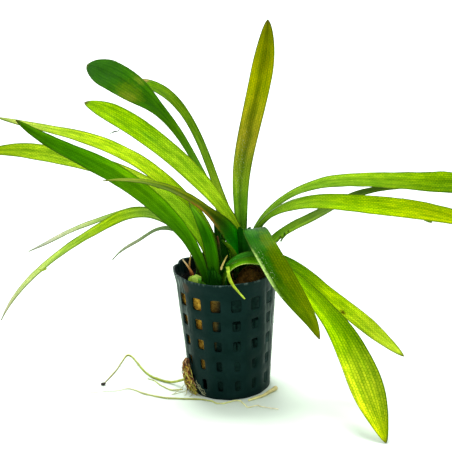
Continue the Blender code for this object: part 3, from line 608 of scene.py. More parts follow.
class Tree:
    """Short ways to make and join the shader nodes of a material or a world."""

    def __init__(self, owner):
        owner.use_nodes = True
        self.owner = owner
        self.tree = owner.node_tree
        self.tree.nodes.clear()

    def node(self, kind, inputs=None, **settings):
        made = self.tree.nodes.new("ShaderNode" + kind)
        for key, value in settings.items():
            setattr(made, key, value)
        for key, value in (inputs or {}).items():
            if hasattr(value, "bl_idname") and hasattr(value, "outputs"):
                value = value.outputs[0]
            if isinstance(value, bpy.types.NodeSocket):
                self.tree.links.new(value, made.inputs[key])
            else:
                made.inputs[key].default_value = value
        return made

    def object_place(self):
        return self.node("TexCoord").outputs["Object"]

    def stretched(self, place, *scale):
        return self.node("Mapping", {"Vector": place, "Scale": scale})

    def noise(self, place, scale, detail, roughness=0.5, **more):
        """The grey value of a noise."""
        return self.node("TexNoise", {"Vector": place, "Scale": scale, "Detail": detail,
                                      "Roughness": roughness, **more}).outputs["Fac"]

    def span(self, value, low, high, start=0.0, end=1.0):
        """Goes from start to end while the value goes from low to high."""
        return self.node("MapRange", {"Value": value, "From Min": low, "From Max": high,
                                      "To Min": start, "To Max": end}).outputs[0]

    def ramp(self, value, *stops):
        made = self.node("ValToRGB", {"Fac": value})
        elements = made.color_ramp.elements
        while len(elements) < len(stops):
            elements.new(0.5)
        for element, (place, colour) in zip(elements, stops):
            element.position = place
            element.color = (*colour, 1.0)
        return made

    def times(self, first, second):
        return self.node("Mix", {"Factor": 1.0, 6: first, 7: second}, data_type="RGBA",
                         blend_type="MULTIPLY").outputs[2]

    def blended(self, factor, first, second):
        return self.node("Mix", {"Factor": factor, 6: first, 7: second}, data_type="RGBA").outputs[2]

    def maths(self, operation, first, second=0.0):
        return self.node("Math", {0: first, 1: second}, operation=operation).outputs[0]

    def vectors(self, operation, first, second=(0.0, 0.0, 0.0)):
        return self.node("VectorMath", {0: first, 1: second}, operation=operation)

    def bump(self, height, strength, distance):
        return self.node("Bump", {"Height": height, "Strength": strength, "Distance": distance})

    def surface(self, colour, gloss, specular, bump, **more):
        return self.node("BsdfPrincipled", {"Base Color": colour, "Roughness": gloss,
                                            "Specular IOR Level": specular, "Normal": bump, **more})

    def finish(self, shader, output="OutputMaterial"):
        self.node(output, {"Surface": shader})
        return self.owner


def material_tree(name):
    return Tree(bpy.data.materials.new(name))


# Materials
def make_leaf_material(name, glow, gloss, figure):
    """Leaf tissue: painted tint, ladder of cells between the veins, blotches, painted highlight streaks, and
    light through it.
    """
    tree = material_tree(name)
    uv = tree.node("UVMap", uv_map="blade")
    paint = tree.node("Attribute", attribute_name="tint")
    sway = tree.node("TexNoise", {"Vector": uv, "Scale": 0.5, "Detail": 2.0}).outputs["Color"]
    bent = tree.vectors("ADD", uv, tree.vectors("MULTIPLY", sway, CELL_SWAY))
    cells = tree.node("TexBrick", {"Vector": tree.stretched(bent, 1.0, CELL_ROWS, 1.0), "Color1": CELL_LIGHT,
                                   "Color2": CELL_DIM, "Mortar": CELL_VEIN, "Scale": 1.0, "Mortar Size": 0.18,
                                   "Mortar Smooth": 0.6, "Brick Width": 1.5, "Row Height": 1.0,
                                   "Bias": -0.1}).outputs["Color"]
    streak = tree.noise(tree.stretched(uv, 0.09, CELL_ROWS * 0.9, 1.0), 1.0, 3.0, 0.6)
    streaks = tree.ramp(streak, (0.34, (0.62, 0.78, 0.5)), (0.66, (1.35, 1.20, 1.35)))
    blotch = tree.noise(tree.object_place(), 120.0, 4.0, 0.6)
    blotches = tree.ramp(blotch, (0.30, (0.84, 0.91, 0.8)), (0.70, (1.15, 1.08, 1.12)))
    colour = tree.times(paint.outputs["Color"], tree.blended(figure, WHITE, cells))
    colour = tree.times(colour, tree.blended(figure, WHITE, streaks))
    colour = tree.times(colour, blotches)
    # Painted highlight: pale streaks where the alpha of the tint is set.
    glint_noise = tree.noise(tree.stretched(uv, 0.7, CELL_ROWS * 2.5, 1.0), 1.0, 3.0, 0.7)
    glint = tree.maths("MULTIPLY", tree.span(glint_noise, 0.61, 0.69), paint.outputs["Alpha"])
    colour = tree.blended(glint, colour, PAINTED_GLINT_TINT)
    bump = tree.bump(cells, 0.2, 0.0002)
    front = tree.surface(colour, gloss, 0.03, bump, **{"Specular Tint": LEAF_SHEEN})
    through = tree.node("BsdfTranslucent", {"Color": colour, "Normal": bump})
    return tree.finish(tree.node("MixShader", {0: glow, 1: front, 2: through}))


def make_pot_material():
    """Black plastic with painted highlights, streaks at the sides of the front and specks on the lip, and one
    brown smudge.
    """
    tree = material_tree("pot_plastic")
    place = tree.object_place()
    parts = tree.node("SeparateXYZ", {0: place})
    cloud = tree.noise(place, 90.0, 4.0, 0.6)
    colour = tree.ramp(cloud, (0.30, (0.001, 0.007, 0.006)), (0.72, (0.004, 0.014, 0.013)))
    # Painted highlights: pale streaks near the sides of the front and specks along the lip.
    sides = tree.span(tree.maths("ABSOLUTE", parts.outputs["X"]), *POT_HIGHLIGHT_SIDES)
    front = tree.span(parts.outputs["Y"], *POT_HIGHLIGHT_FRONT, 1.0, 0.12)
    lip = tree.span(parts.outputs["Z"], *POT_HIGHLIGHT_LIP, 0.0, 0.45)
    wear = tree.noise(tree.stretched(place, 1.0, 1.0, 0.05), 700.0, 2.0)
    edge = tree.maths("MAXIMUM", tree.maths("MULTIPLY", sides, front), lip)
    colour = tree.blended(tree.maths("MULTIPLY", edge, tree.span(wear, 0.50, 0.68)), colour, POT_HIGHLIGHT_TINT)
    away = tree.vectors("DISTANCE", place, POT_SMUDGE_PLACE).outputs["Value"]
    away = tree.maths("ADD", away, tree.maths("MULTIPLY", cloud, 0.003))
    colour = tree.blended(tree.span(away, *POT_SMUDGE_REACH, 0.8, 0.0), colour, POT_SMUDGE_TINT)
    streak = tree.noise(tree.stretched(place, 1.0, 1.0, 0.25), 320.0, 3.0, 0.6)
    gloss = tree.ramp(streak, (0.30, (0.28, 0.28, 0.28)), (0.70, (0.55, 0.55, 0.55)))
    bump = tree.bump(tree.noise(place, 260.0, 2.0), 0.35, 0.0005)
    return tree.finish(tree.surface(colour, gloss, 0.06, bump, **{"Specular Tint": POT_SHEEN}))


def make_wool_material():
    """Orange-brown on the left; painted shade darkens it to the right, at the foot and in the mouth, with a
    painted highlight at the right edge; short fibre streaks.
    """
    tree = material_tree("rockwool_fibre")
    place = tree.object_place()
    parts = tree.node("SeparateXYZ", {0: place})
    x, z = parts.outputs["X"], parts.outputs["Z"]
    streaks = tree.noise(place, 700.0, 5.0, 0.7, Distortion=0.6)
    clumps = tree.noise(place, 220.0, 3.0, 0.6)
    bright = tree.ramp(streaks, (0.30, (0.14, 0.07, 0.01)), (0.50, (0.38, 0.21, 0.02)),
                       (0.72, (0.56, 0.38, 0.06)))
    # Painted shade: the fibre is near black where it lies to the right, low down and inside.
    shade_and_edge_highlight = tree.ramp(streaks, (0.30, (0.002, 0.010, 0.008)), (0.70, (0.006, 0.020, 0.016)))
    # Painted highlight: the shaded fibre is lighter at the right edge.
    shade_and_edge_highlight = tree.blended(tree.span(x, *WOOL_HIGHLIGHT_SIDE), shade_and_edge_highlight, WOOL_HIGHLIGHT_TINT)
    brown = tree.ramp(streaks, (0.30, (0.012, 0.010, 0.002)), (0.70, (0.10, 0.050, 0.008)))
    side = tree.span(tree.maths("ADD", x, tree.maths("MULTIPLY", z, -0.12)), *WOOL_BRIGHT_SIDE, 1.0, 0.0)
    reach = tree.maths("MULTIPLY", side, tree.span(z, *WOOL_BRIGHT_FOOT))
    flat = tree.vectors("MULTIPLY", place, (1.0, 1.0, 0.0))
    flush = tree.span(tree.vectors("LENGTH", flat).outputs["Value"], *WOOL_BRIGHT_RADIUS)
    inside = tree.maths("MAXIMUM", tree.span(z, *WOOL_BRIGHT_SHOULDER, 1.0, 0.0), flush)
    mouth = tree.span(z, *WOOL_MOUTH_LEVEL)
    colour = tree.blended(tree.maths("MULTIPLY", reach, inside), shade_and_edge_highlight, bright)
    # Painted shade in the mouth of the pot.
    colour = tree.blended(mouth, colour, WOOL_MOUTH_SHADE_TINT)
    colour = tree.blended(tree.maths("MULTIPLY", tree.span(x, *WOOL_BROWN_SIDE), mouth), colour, brown)
    colour = tree.times(colour, tree.ramp(clumps, (0.35, (0.45, 0.40, 0.40)), (0.60, (1.0, 1.0, 1.0))))
    return tree.finish(tree.surface(colour, 0.9, 0.02, tree.bump(streaks, 0.8, 0.0006)))


def make_grain_material():
    tree = material_tree("dirt_grain")
    grain = tree.noise(tree.object_place(), 900.0, 5.0, 0.65)
    colour = tree.ramp(grain, (0.32, (0.01, 0.01, 0.01)), (0.68, (0.05, 0.04, 0.03)))
    return tree.finish(tree.surface(colour, 0.9, 0.4, tree.bump(grain, 0.4, 0.0004)))


def make_painted_material(name, gloss, scale, specular):
    """A painted tint broken up by a grain, for crowns, strips and roots."""
    tree = material_tree(name)
    tint = tree.node("Attribute", attribute_name="tint").outputs["Color"]
    grain = tree.noise(tree.object_place(), scale, 4.0, 0.6)
    shade = tree.ramp(grain, (0.30, (0.65, 0.65, 0.65)), (0.70, (1.2, 1.2, 1.2)))
    return tree.finish(tree.surface(tree.times(tint, shade), gloss, specular, tree.bump(grain, 0.4, 0.0003)))


CROWN_MATERIAL = make_painted_material("crown_tissue", 0.5, 500.0, 0.03)
MAT_MATERIAL = make_painted_material("old_roots", 0.8, 900.0, 0.1)
GRAIN_MATERIAL = make_grain_material()
LEAF_MATERIALS = {name: make_leaf_material(name, *values) for name, values in LEAF_TISSUES.items()}
ROOT_MATERIALS = {slot: make_painted_material("skin_" + slot, 0.5, 400.0, 0.2)
                  for slot in ("pale_root", "tan_root")}
STRIP_MATERIALS = {slot: make_painted_material("strip_" + slot, 0.6, 700.0, 0.03)
                   for slot in ("torn_leaf", "dead_leaf", "dry_leaf", "leaf_fresh")}


# Leaves
def leaf_frame(leaf, share):
    """Direction of the midrib, width direction and face direction at a share of the length."""
    rise = math.radians(along(leaf.rise, share))
    heading = math.radians(along(leaf.heading, share))
    forward = Vector((math.cos(rise) * math.cos(heading), math.cos(rise) * math.sin(heading), math.sin(rise)))
    side = Vector((-math.sin(heading), math.cos(heading), 0.0))
    face = forward.cross(side)
    twist = math.radians(along(leaf.twist, share))
    return (forward, side * math.cos(twist) + face * math.sin(twist),
            face * math.cos(twist) - side * math.sin(twist))


def leaf_midrib(leaf, steps):
    """Places at equal steps along the midrib, each reached by one or more short strides."""
    strides_each = max(1, round(LEAF_LEAST_STRIDES / steps)) if steps < LEAF_LEAST_STRIDES else 1
    strides = strides_each * steps
    place = Vector(leaf.foot)
    places = [place.copy()]
    for count in range(strides):
        place += leaf_frame(leaf, (count + 0.5) / strides)[0] * leaf.length / strides
        if (count + 1) % strides_each == 0:
            places.append(place.copy())
    return places


def leaf_width(leaf, share):
    closing = max(0.0, (share - 1.0 + leaf.tip) / leaf.tip)
    return max(along(leaf.width, share) * (1.0 - closing * closing) ** 0.6, LEAF_TIP_WIDTH)


def leaf_tint(leaf, look, share, across, place):
    """Painted colour of one point of a leaf."""
    # Painted light and shade: each half of the blade gets its own brightness.
    half = look.halves[0] if across < 0 else look.halves[1]
    bright = 1.0 + (half - 1.0) * smooth_step(0.1, 0.7, abs(across))
    bright *= 1.0 + (look.midline - 1.0) * (1.0 - smooth_step(0.05, 0.35, abs(across)))
    reach = share * leaf.length
    patch = noise.noise(Vector((reach * 0.035, across * 3.0, leaf.length)))
    fleck = noise.noise(Vector((reach * 0.12, across * 5.0, leaf.length)))
    bright *= math.exp(LEAF_PATCHES * patch + LEAF_FLECKS * fleck)
    red, green, blue = painted(look.stops, share)
    colour = [red * bright ** LEAF_YELLOWING, green * bright, blue * bright]
    margin = (1.0 - abs(across)) * 0.5 * leaf_width(leaf, share)
    colour = mixed(colour, LEAF_MARGIN_TINT, 0.75 * (1.0 - smooth_step(0.0, LEAF_MARGIN, margin)))
    colour = mixed(colour, LEAF_TIP_TINT, 0.7 * smooth_step(1.0 - 3.0 / leaf.length, 1.0, share))
    for spot_share, spot_across, length, spread, spot_tint, strength in look.spots:
        away = math.hypot((share - spot_share) * leaf.length / length, (across - spot_across) / spread)
        away += 0.35 * noise.noise(place * 0.6)
        colour = mixed(colour, spot_tint, strength * (1.0 - smooth_step(0.4, 1.1, away)))
    return [min(max(part, 0.0), 1.0) for part in colour]


def leaf_painted_glint(leaf, look, share, across):
    """How much painted highlight, in streaks, lies on one point of a leaf."""
    glint = 0.0
    for glint_share, glint_across, length, spread, strength in look.glints:
        away = math.hypot((share - glint_share) * leaf.length / length, (across - glint_across) / spread)
        glint = max(glint, strength * (1.0 - smooth_step(0.5, 1.1, away)))
    return glint


def make_leaf(leaf):
    look = LOOKS[leaf.name]
    steps = round(leaf.length / LEAF_RING_SPACING)
    keel = math.radians(leaf.keel)
    seed = Vector((leaf.foot[0] * 7.3, leaf.length * 1.7, leaf.foot[1] * 3.1))
    body = Body()
    rings = []
    for step, middle in enumerate(leaf_midrib(leaf, steps)):
        share = step / steps
        reach = share * leaf.length
        _, side, face = leaf_frame(leaf, share)
        half = 0.5 * leaf_width(leaf, share)
        foot_part = max(0.0, 1.0 - share / LEAF_FOOT_SHARE) ** 2
        rib = LEAF_RIB_THICKNESS + (LEAF_FOOT_THICKNESS - LEAF_RIB_THICKNESS) * foot_part
        ring = []
        for surface, across in section(LEAF_COLUMNS):
            fold = half * math.sin(keel) * abs(across) ** 1.4
            wave = LEAF_WAVE * noise.noise(Vector((reach * 0.09, across * 0.8, 0)) + seed)
            ruffle = noise.noise(Vector((reach * 0.16, 3.0 * (across > 0), 5.0)) + seed)
            wave += LEAF_RUFFLE * across * across * ruffle
            thick = LEAF_EDGE_THICKNESS + (rib - LEAF_EDGE_THICKNESS) * (1.0 - across * across)
            vein = LEAF_VEIN_HEIGHT * math.cos(math.pi * LEAF_VEINS * across) * (1.0 - across ** 4)
            rise = fold + wave * min(1.0, half / 2) * smooth_step(0.0, 0.2, share)
            rise += surface * (0.5 * thick + vein * min(1.0, half / 3))
            point = middle + side * half * math.cos(keel) * across + face * rise
            if step == 0:
                point.z = middle.z
            ring.append(point)
            body.uvs.append((reach, 0.5 + 0.5 * across))
            # The alpha of the tint is the share of painted highlight.
            body.tints.append((*leaf_tint(leaf, look, share, across, point + seed),
                               leaf_painted_glint(leaf, look, share, across)))
        rings.append(ring)
    body.skin(rings)
    for bit in BITS.get(leaf.name, ()):
        body.tube([Vector(place) for place in bit.points], bit.radii)
        body.paint((*bit.tint, 0.0))
    body.uvs += [(0.0, 0.5)] * (len(body.points) - len(body.uvs))
    add_piece(leaf.name + "_blade", body, LEAF_MATERIALS[look.slot], [leaf.name])


# Pot
def wall_radius(height):
    """Outer radius of the pot's wall, with the flare of the lip above the neck."""
    if height <= POT_NECK_HEIGHT:
        return POT_FOOT_RADIUS + (POT_NECK_RADIUS - POT_FOOT_RADIUS) * height / POT_NECK_HEIGHT
    flare = (height - POT_NECK_HEIGHT) / (POT_HEIGHT - POT_NECK_HEIGHT)
    return POT_NECK_RADIUS + (POT_LIP_RADIUS - POT_NECK_RADIUS) * flare


def from_front(angle, radius, height):
    """A place at an angle from the front, positive to the right."""
    return Vector((radius * math.sin(angle), -radius * math.cos(angle), height))


def nearness(angle, centre, reach):
    """1 at the centre, falling to 0 on both sides of it."""
    turn = math.atan2(math.sin(angle - centre), math.cos(angle - centre))
    return math.exp(-(turn / reach) ** 2)


def lip_knocks(angle):
    return sum(depth * nearness(angle, centre, reach) for centre, depth, reach in LIP_KNOCKS)


def wall_place(layer, angle, height):
    """A place on the outer (0) or inner (1) side of the wall, with the dents and waves of the lip."""
    uneven = WALL_UNEVEN * noise.noise(from_front(angle, 3.0, height * 0.06))
    flat = WALL_FLAT * math.cos(SLOT_COLUMNS * (angle - SLOT_TURN))
    push = LIP_DENT_DEPTH * nearness(angle, LIP_DENT_ANGLE, LIP_DENT_REACH) + lip_knocks(angle)
    push *= smooth_step(POT_NECK_HEIGHT - 3.0, POT_HEIGHT, height)
    drop = LIP_WAVE * (0.5 + noise.noise(from_front(angle, 2.4, 0.0))) + lip_knocks(angle)
    drop *= smooth_step(POT_NECK_HEIGHT, POT_HEIGHT, height)
    return from_front(angle, wall_radius(height) - POT_WALL * layer + uneven - flat - push, height - drop)


def floor_place(layer, angle, radius):
    return from_front(angle, radius, POT_FLOOR * layer)


def slot_outline(width, tall, corner):
    """Sixteen places round a slot with round corners, from its lower left corner on."""
    signs = ((-1, -1), (1, -1), (1, 1), (-1, 1))
    places = []
    for side in range(4):
        arcs = []
        for number, turns in ((side, (225, 270)), ((side + 1) % 4, (270,))):
            x, z = signs[number]
            for turn in turns:
                angle = math.radians(turn + 90 * side)
                arcs.append((x * (width / 2 - corner) + corner * math.cos(angle),
                             z * (tall / 2 - corner) + corner * math.sin(angle)))
        middle = ((arcs[1][0] + arcs[2][0]) / 2, (arcs[1][1] + arcs[2][1]) / 2)
        places += [arcs[0], arcs[1], middle, arcs[2]]
    return places


class Shell(Body):
    """The pot: a wall with two sides whose points are shared between neighbouring faces."""

    turns = range(4 * SLOT_COLUMNS)

    def __init__(self):
        super().__init__()
        self.known = {}

    def at(self, place, key=None):
        if key is not None and key in self.known:
            return self.known[key]
        self.points.append(place)
        if key is not None:
            self.known[key] = len(self.points) - 1
        return len(self.points) - 1

    def border_angle(self, turn):
        return SLOT_TURN + math.tau * (turn - 2) / (4 * SLOT_COLUMNS)

    def border(self, surface, layer, turn, level):
        """A point on the shared grid, counted in quarter cells round the pot."""
        turn %= 4 * SLOT_COLUMNS
        return self.at(surface(layer, self.border_angle(turn), level),
                       (surface.__name__, layer, turn, round(level, 3)))

    def border_ring(self, surface, layer, level):
        return [self.border(surface, layer, turn, level) for turn in self.turns]

    def join(self, first, second):
        """Faces between two loops with the same number of points."""
        for corner in range(len(first)):
            after = (corner + 1) % len(first)
            self.faces.append((first[corner], first[after], second[after], second[corner]))

    def slotted_row(self, surface, low, high, middle, width, tall, reach):
        """One row of cells, each with a slot through both sides of the wall."""
        inward = UP
        for column in range(SLOT_COLUMNS):
            centre = SLOT_TURN + math.tau * column / SLOT_COLUMNS
            if surface is wall_place:
                inward = -from_front(centre, 1.0, 0.0)
            edges = []
            for layer in (0, 1):
                loop = []
                for side, (across, up) in enumerate(((0, 0), (4, 0), (4, 4), (0, 4))):
                    for step in range(4):
                        move_x, move_z = ((step, 0), (0, step), (-step, 0), (0, -step))[side]
                        level = low + (high - low) * (up + move_z) / 4
                        loop.append(self.border(surface, layer, 4 * column + across + move_x, level))
                for grow, sink in ((SLOT_SOFTENING, 0.0), (0.0, SLOT_SINK * (1 - 2 * layer))):
                    inner = []
                    for x, z in slot_outline(width + 2 * grow, tall + 2 * grow, SLOT_CORNER + grow):
                        place = surface(layer, centre + x / reach, middle + z)
                        inner.append(self.at(place + inward * sink))
                    self.join(loop, inner)
                    loop = inner
                edges.append(loop)
            self.join(edges[0], edges[1])


def make_pot():
    shell = Shell()
    tops = [height + tall / 2 for height, (_, tall) in zip(SLOT_ROW_HEIGHTS, SLOT_SIZES)]
    bottoms = [height - tall / 2 for height, (_, tall) in zip(SLOT_ROW_HEIGHTS, SLOT_SIZES)]
    levels = [POT_FIRST_CELL] + [(top + low) / 2 for top, low in zip(tops, bottoms[1:])]
    levels.append(tops[-1] + POT_LAST_CELL_MARGIN)
    for row, (width, tall) in enumerate(SLOT_SIZES):
        shell.slotted_row(wall_place, levels[row], levels[row + 1], SLOT_ROW_HEIGHTS[row], width, tall,
                          wall_radius(SLOT_ROW_HEIGHTS[row]))
    upper = [levels[-1], POT_NECK_HEIGHT, *POT_LIP_LEVELS, POT_HEIGHT - POT_LIP_ROUNDING]
    for layer in (0, 1):
        for low, high in zip(upper, upper[1:]):
            shell.join(shell.border_ring(wall_place, layer, low), shell.border_ring(wall_place, layer, high))
    hub, rim = DRAIN_HUB_RADIUS - DRAIN_CELL_MARGIN, DRAIN_END_RADIUS + DRAIN_CELL_MARGIN
    drain_middle = (DRAIN_HUB_RADIUS + DRAIN_END_RADIUS) / 2
    shell.slotted_row(floor_place, hub, rim, drain_middle, DRAIN_WIDTH, DRAIN_END_RADIUS - DRAIN_HUB_RADIUS,
                      drain_middle)
    for layer in (0, 1):
        shell.faces.append(shell.border_ring(floor_place, layer, hub))
        foot = shell.border_ring(floor_place, layer, rim)
        for inset, height in (FOOT_OUTER_ROUNDING, FOOT_INNER_ROUNDING)[layer]:
            ring = []
            for turn in shell.turns:
                angle = shell.border_angle(turn)
                place = wall_place(layer, angle, height)
                radius = math.hypot(place.x, place.y) - inset
                ring.append(shell.at(from_front(angle, radius, height + POT_FLOOR * layer)))
            shell.join(foot, ring)
            foot = ring
        shell.join(foot, shell.border_ring(wall_place, layer, POT_FIRST_CELL))
    rims = [shell.border_ring(wall_place, layer, upper[-1]) for layer in (0, 1)]
    crest = [shell.at((shell.points[outside] + shell.points[inside]) / 2 + UP * POT_LIP_ROUNDING)
             for outside, inside in zip(*rims)]
    shell.join(rims[0], crest)
    shell.join(crest, rims[1])
    add_piece("pot_shell", shell, make_pot_material(), ["pot"], tidy=True)


# Growing medium
def wool_radius(angle, height):
    """The plug follows the wall, but shrinks away from it on the right and near the floor."""
    right_share = max(0.0, math.sin(angle + WOOL_RIGHT_TURN)) ** WOOL_RIGHT_SPREAD
    foot_share = min(1.0, 2.0 * max(0.0, 1.0 - height / WOOL_FOOT_TOP))
    foot_share *= smooth_step(WOOL_FOOT_RIGHT, WOOL_FOOT_LEFT, math.sin(angle))
    shrink = WOOL_RIGHT_SHRINK * right_share + WOOL_FOOT_SHRINK * foot_share
    return wall_radius(height) - POT_WALL - WOOL_WALL_GAP - shrink


def slot_fill(angle, height):
    """How far the plug is pressed into the slots of the right half. The middle rows keep a T-shaped gap."""
    turn = (angle - SLOT_TURN) * SLOT_COLUMNS / math.tau
    off = abs(turn - round(turn)) * math.tau / SLOT_COLUMNS * wall_radius(height)
    fill = 0.0
    for middle, (width, tall) in zip(SLOT_ROW_HEIGHTS, SLOT_SIZES):
        up = height - middle
        inside = 1.0 - smooth_step(width / 2 + 0.1, width / 2 + 0.5, off)
        inside *= 1.0 - smooth_step(tall / 2 + 0.1, tall / 2 + 0.5, abs(up))
        bar = smooth_step(tall / 2 - 1.6, tall / 2 - 1.2, up)
        stem = 1.0 - smooth_step(WOOL_SLOT_GAP, WOOL_SLOT_GAP + 0.3, off)
        stem *= smooth_step(-0.4 * tall, -0.3 * tall, up)
        deep = max(bar, stem) * smooth_step(*WOOL_GAP_FOOT, height) * smooth_step(*WOOL_GAP_TOP, height)
        fill = max(fill, inside * (1.0 - deep * smooth_step(*WOOL_GAP_TURN, abs(angle))))
    return fill * smooth_step(0.0, 0.15, math.sin(angle))


def wool_lump(place):
    """Small hollows and tufts of the matted fibre, never outwards."""
    return -0.35 * abs(noise.noise(place * 0.35)) - 0.30 * abs(noise.noise(place * 1.1))


def wool_top(x, y):
    """Low at the front left, high on the right and along the wall, with a mound at the front right."""
    wall = max(WOOL_BACK_RISE * smooth_step(*WOOL_BACK_SPAN, y - 0.3 * x),
               WOOL_WALL_RISE * smooth_step(*WOOL_WALL_SPAN, math.hypot(x, y)))
    away = math.hypot(x - WOOL_MOUND_PLACE[0], y - WOOL_MOUND_PLACE[1]) / WOOL_MOUND_REACH
    mound = WOOL_MOUND_HEIGHT * math.exp(-away ** 4)
    return max(WOOL_TOP_MIDDLE + WOOL_TOP_STEP * math.tanh(x / WOOL_TOP_STEP_WIDTH) + mound,
               WOOL_TOP_MIDDLE - WOOL_TOP_STEP + wall)


def wool_side(angle, height):
    place = from_front(angle, wool_radius(angle, height), height)
    place = from_front(angle, wool_radius(angle, height) + 1.6 * wool_lump(place), height)
    return place.lerp(wall_place(WOOL_SLOT_LAYER, angle, height), slot_fill(angle, height))


def add_fibre(body, start, outward, picker):
    """One short bent fibre that lies on the plug."""
    heading = Vector([picker.gauss(0, 1) for _ in range(3)])
    heading -= outward * heading.dot(outward) / max(outward.length_squared, 0.01)
    heading = heading.normalized() * picker.uniform(0.6, 1.8)
    bend = Vector([picker.uniform(-0.5, 0.5) for _ in range(3)])
    body.tube([start, start + heading + outward, start + heading * 2 + bend], WOOL_FIBRE_RADII, sides=3)


def make_rockwool():
    body = Body()
    angles = round_angles(WOOL_SIDES)
    rings = []
    for step in range(WOOL_RINGS):
        height = POT_FLOOR + 0.1 + (WOOL_SHOULDER_HEIGHT - POT_FLOOR - 0.1) * step / (WOOL_RINGS - 1)
        rings.append([wool_side(angle, height) for angle in angles])
    for step in range(1, WOOL_COLLAR_RINGS):
        ring = []
        for angle in angles:
            rim = from_front(angle, wool_radius(angle, WOOL_SHOULDER_HEIGHT), 0.0)
            high = wool_top(rim.x, rim.y) - WOOL_SHOULDER_DROP
            height = WOOL_SHOULDER_HEIGHT + (high - WOOL_SHOULDER_HEIGHT) * step / WOOL_COLLAR_RINGS
            ring.append(wool_side(angle, min(height, WOOL_COLLAR_TOP)))
        rings.append(ring)
    for step in range(WOOL_TOP_RINGS):
        share = 1.0 - step / WOOL_TOP_RINGS
        ring = []
        for angle in angles:
            place = from_front(angle, wool_radius(angle, WOOL_SHOULDER_HEIGHT) * (share ** 0.8) - 0.3, 0.0)
            drop = WOOL_SHOULDER_DROP * smooth_step(0.8, 1.0, share)
            lift = 2.2 * wool_lump(place * 1.4) + 0.6
            ring.append(Vector((place.x, place.y, wool_top(place.x, place.y) - drop + lift)))
        rings.append(ring)
    body.skin(rings)
    picker = random.Random(WOOL_SEED)
    for _ in range(WOOL_FIBRES):
        angle = picker.uniform(0.0, math.tau)
        share = math.sqrt(picker.uniform(0.02, 0.98))
        start = from_front(angle, wool_radius(angle, WOOL_SHOULDER_HEIGHT) * share - 0.8, 0.0)
        start.z = wool_top(start.x, start.y) - 0.4
        add_fibre(body, start, Vector((0, 0, 0.5)), picker)
    for _ in range(WOOL_SIDE_FIBRES):
        angle = picker.uniform(*WOOL_FIBRE_ANGLES)
        height = picker.uniform(*WOOL_FIBRE_HEIGHTS)
        start = from_front(angle, wool_radius(angle, height) - 0.2, height)
        add_fibre(body, start, from_front(angle, 0.25, 0.0), picker)
    for hair in WOOL_HAIRS:
        body.tube([Vector(place) for place in hair], [WOOL_HAIR_RADIUS] * len(hair), sides=4)
    add_piece("rockwool_plug", body, make_wool_material(), ["rockwool"])


# Crowns
def add_stump(body, place, radius, low, high):
    """The hidden core of a crown, with lobes round it."""
    rings = []
    for step in range(STUMP_STEPS + 1):
        share = step / STUMP_STEPS
        ring = []
        for angle in round_angles(STUMP_SIDES):
            lobes = 1.0 + 0.10 * math.sin(5 * angle + 1.0) + 0.05 * math.sin(9 * angle)
            reach = radius * STUMP_SHARE * lobes * math.cos(share * 1.35) ** 0.6
            ring.append(Vector((place[0] + reach * math.cos(angle), place[1] + reach * math.sin(angle),
                                low + (high - low) * math.sin(share * math.pi / 2))))
        rings.append(ring)
    body.skin(rings)
    body.paint(STUMP_TINT)


def add_sheath(body, sheath):
    """A broad clasping leaf base: part of a tapering tube with a ragged upper edge."""
    start, wide, count = len(body.points), SHEATH_COLUMNS + 1, 2 * (SHEATH_ROWS + 1)
    seed = Vector((*sheath.middle, sheath.low))
    for number in range(count):
        surface = number // (SHEATH_ROWS + 1)
        share = (number if surface == 0 else count - 1 - number) / SHEATH_ROWS
        for column in range(wide):
            across = 2.0 * column / SHEATH_COLUMNS - 1.0
            angle = math.radians(sheath.towards + sheath.sweep * across / 2)
            ragged = 1.0 - 0.25 * abs(across) ** 3
            ragged -= 0.14 * (1 + noise.noise(seed + Vector((across * 3, 0, 0))))
            radius = sheath.radius + (sheath.top_radius - sheath.radius) * share
            radius += 0.25 * math.cos(7 * math.pi * across) - 0.5 * surface * (1.2 - share)
            place = Vector((sheath.middle[0] + radius * math.cos(angle),
                            sheath.middle[1] + radius * math.sin(angle),
                            sheath.low + (sheath.high - sheath.low) * share * ragged))
            body.points.append(place)
            tone = 1.0 + 0.35 * abs(across) ** 2 + 0.25 * noise.noise(place * 0.9)
            body.tints.append([part * tone for part in mixed(sheath.foot_tint, sheath.top_tint, share)])
    for row in range(count):
        low, high = start + row * wide, start + (row + 1) % count * wide
        for column in range(SHEATH_COLUMNS):
            body.faces.append((low + column, low + column + 1, high + column + 1, high + column))
    for row in range(SHEATH_ROWS):
        for column in (0, SHEATH_COLUMNS):
            outside, inside = start + row * wide + column, start + (count - 2 - row) * wide + column
            body.faces.append((outside, outside + wide, inside, inside + wide))


def add_lump(body, lump):
    """A small pale swelling of the crown, where a leaf has come off."""
    middle, radius, tint = Vector(lump[0]), lump[1], lump[2]
    rings = ball(10, 16, lambda way: way * radius * (1.0 + 0.3 * noise.noise(way * 1.7 + middle)) + middle)
    body.skin(rings)
    for point in body.points[len(body.tints):]:
        tone = 1.0 + 0.6 * noise.noise(point * 1.4)
        body.tints.append([part * tone for part in tint])


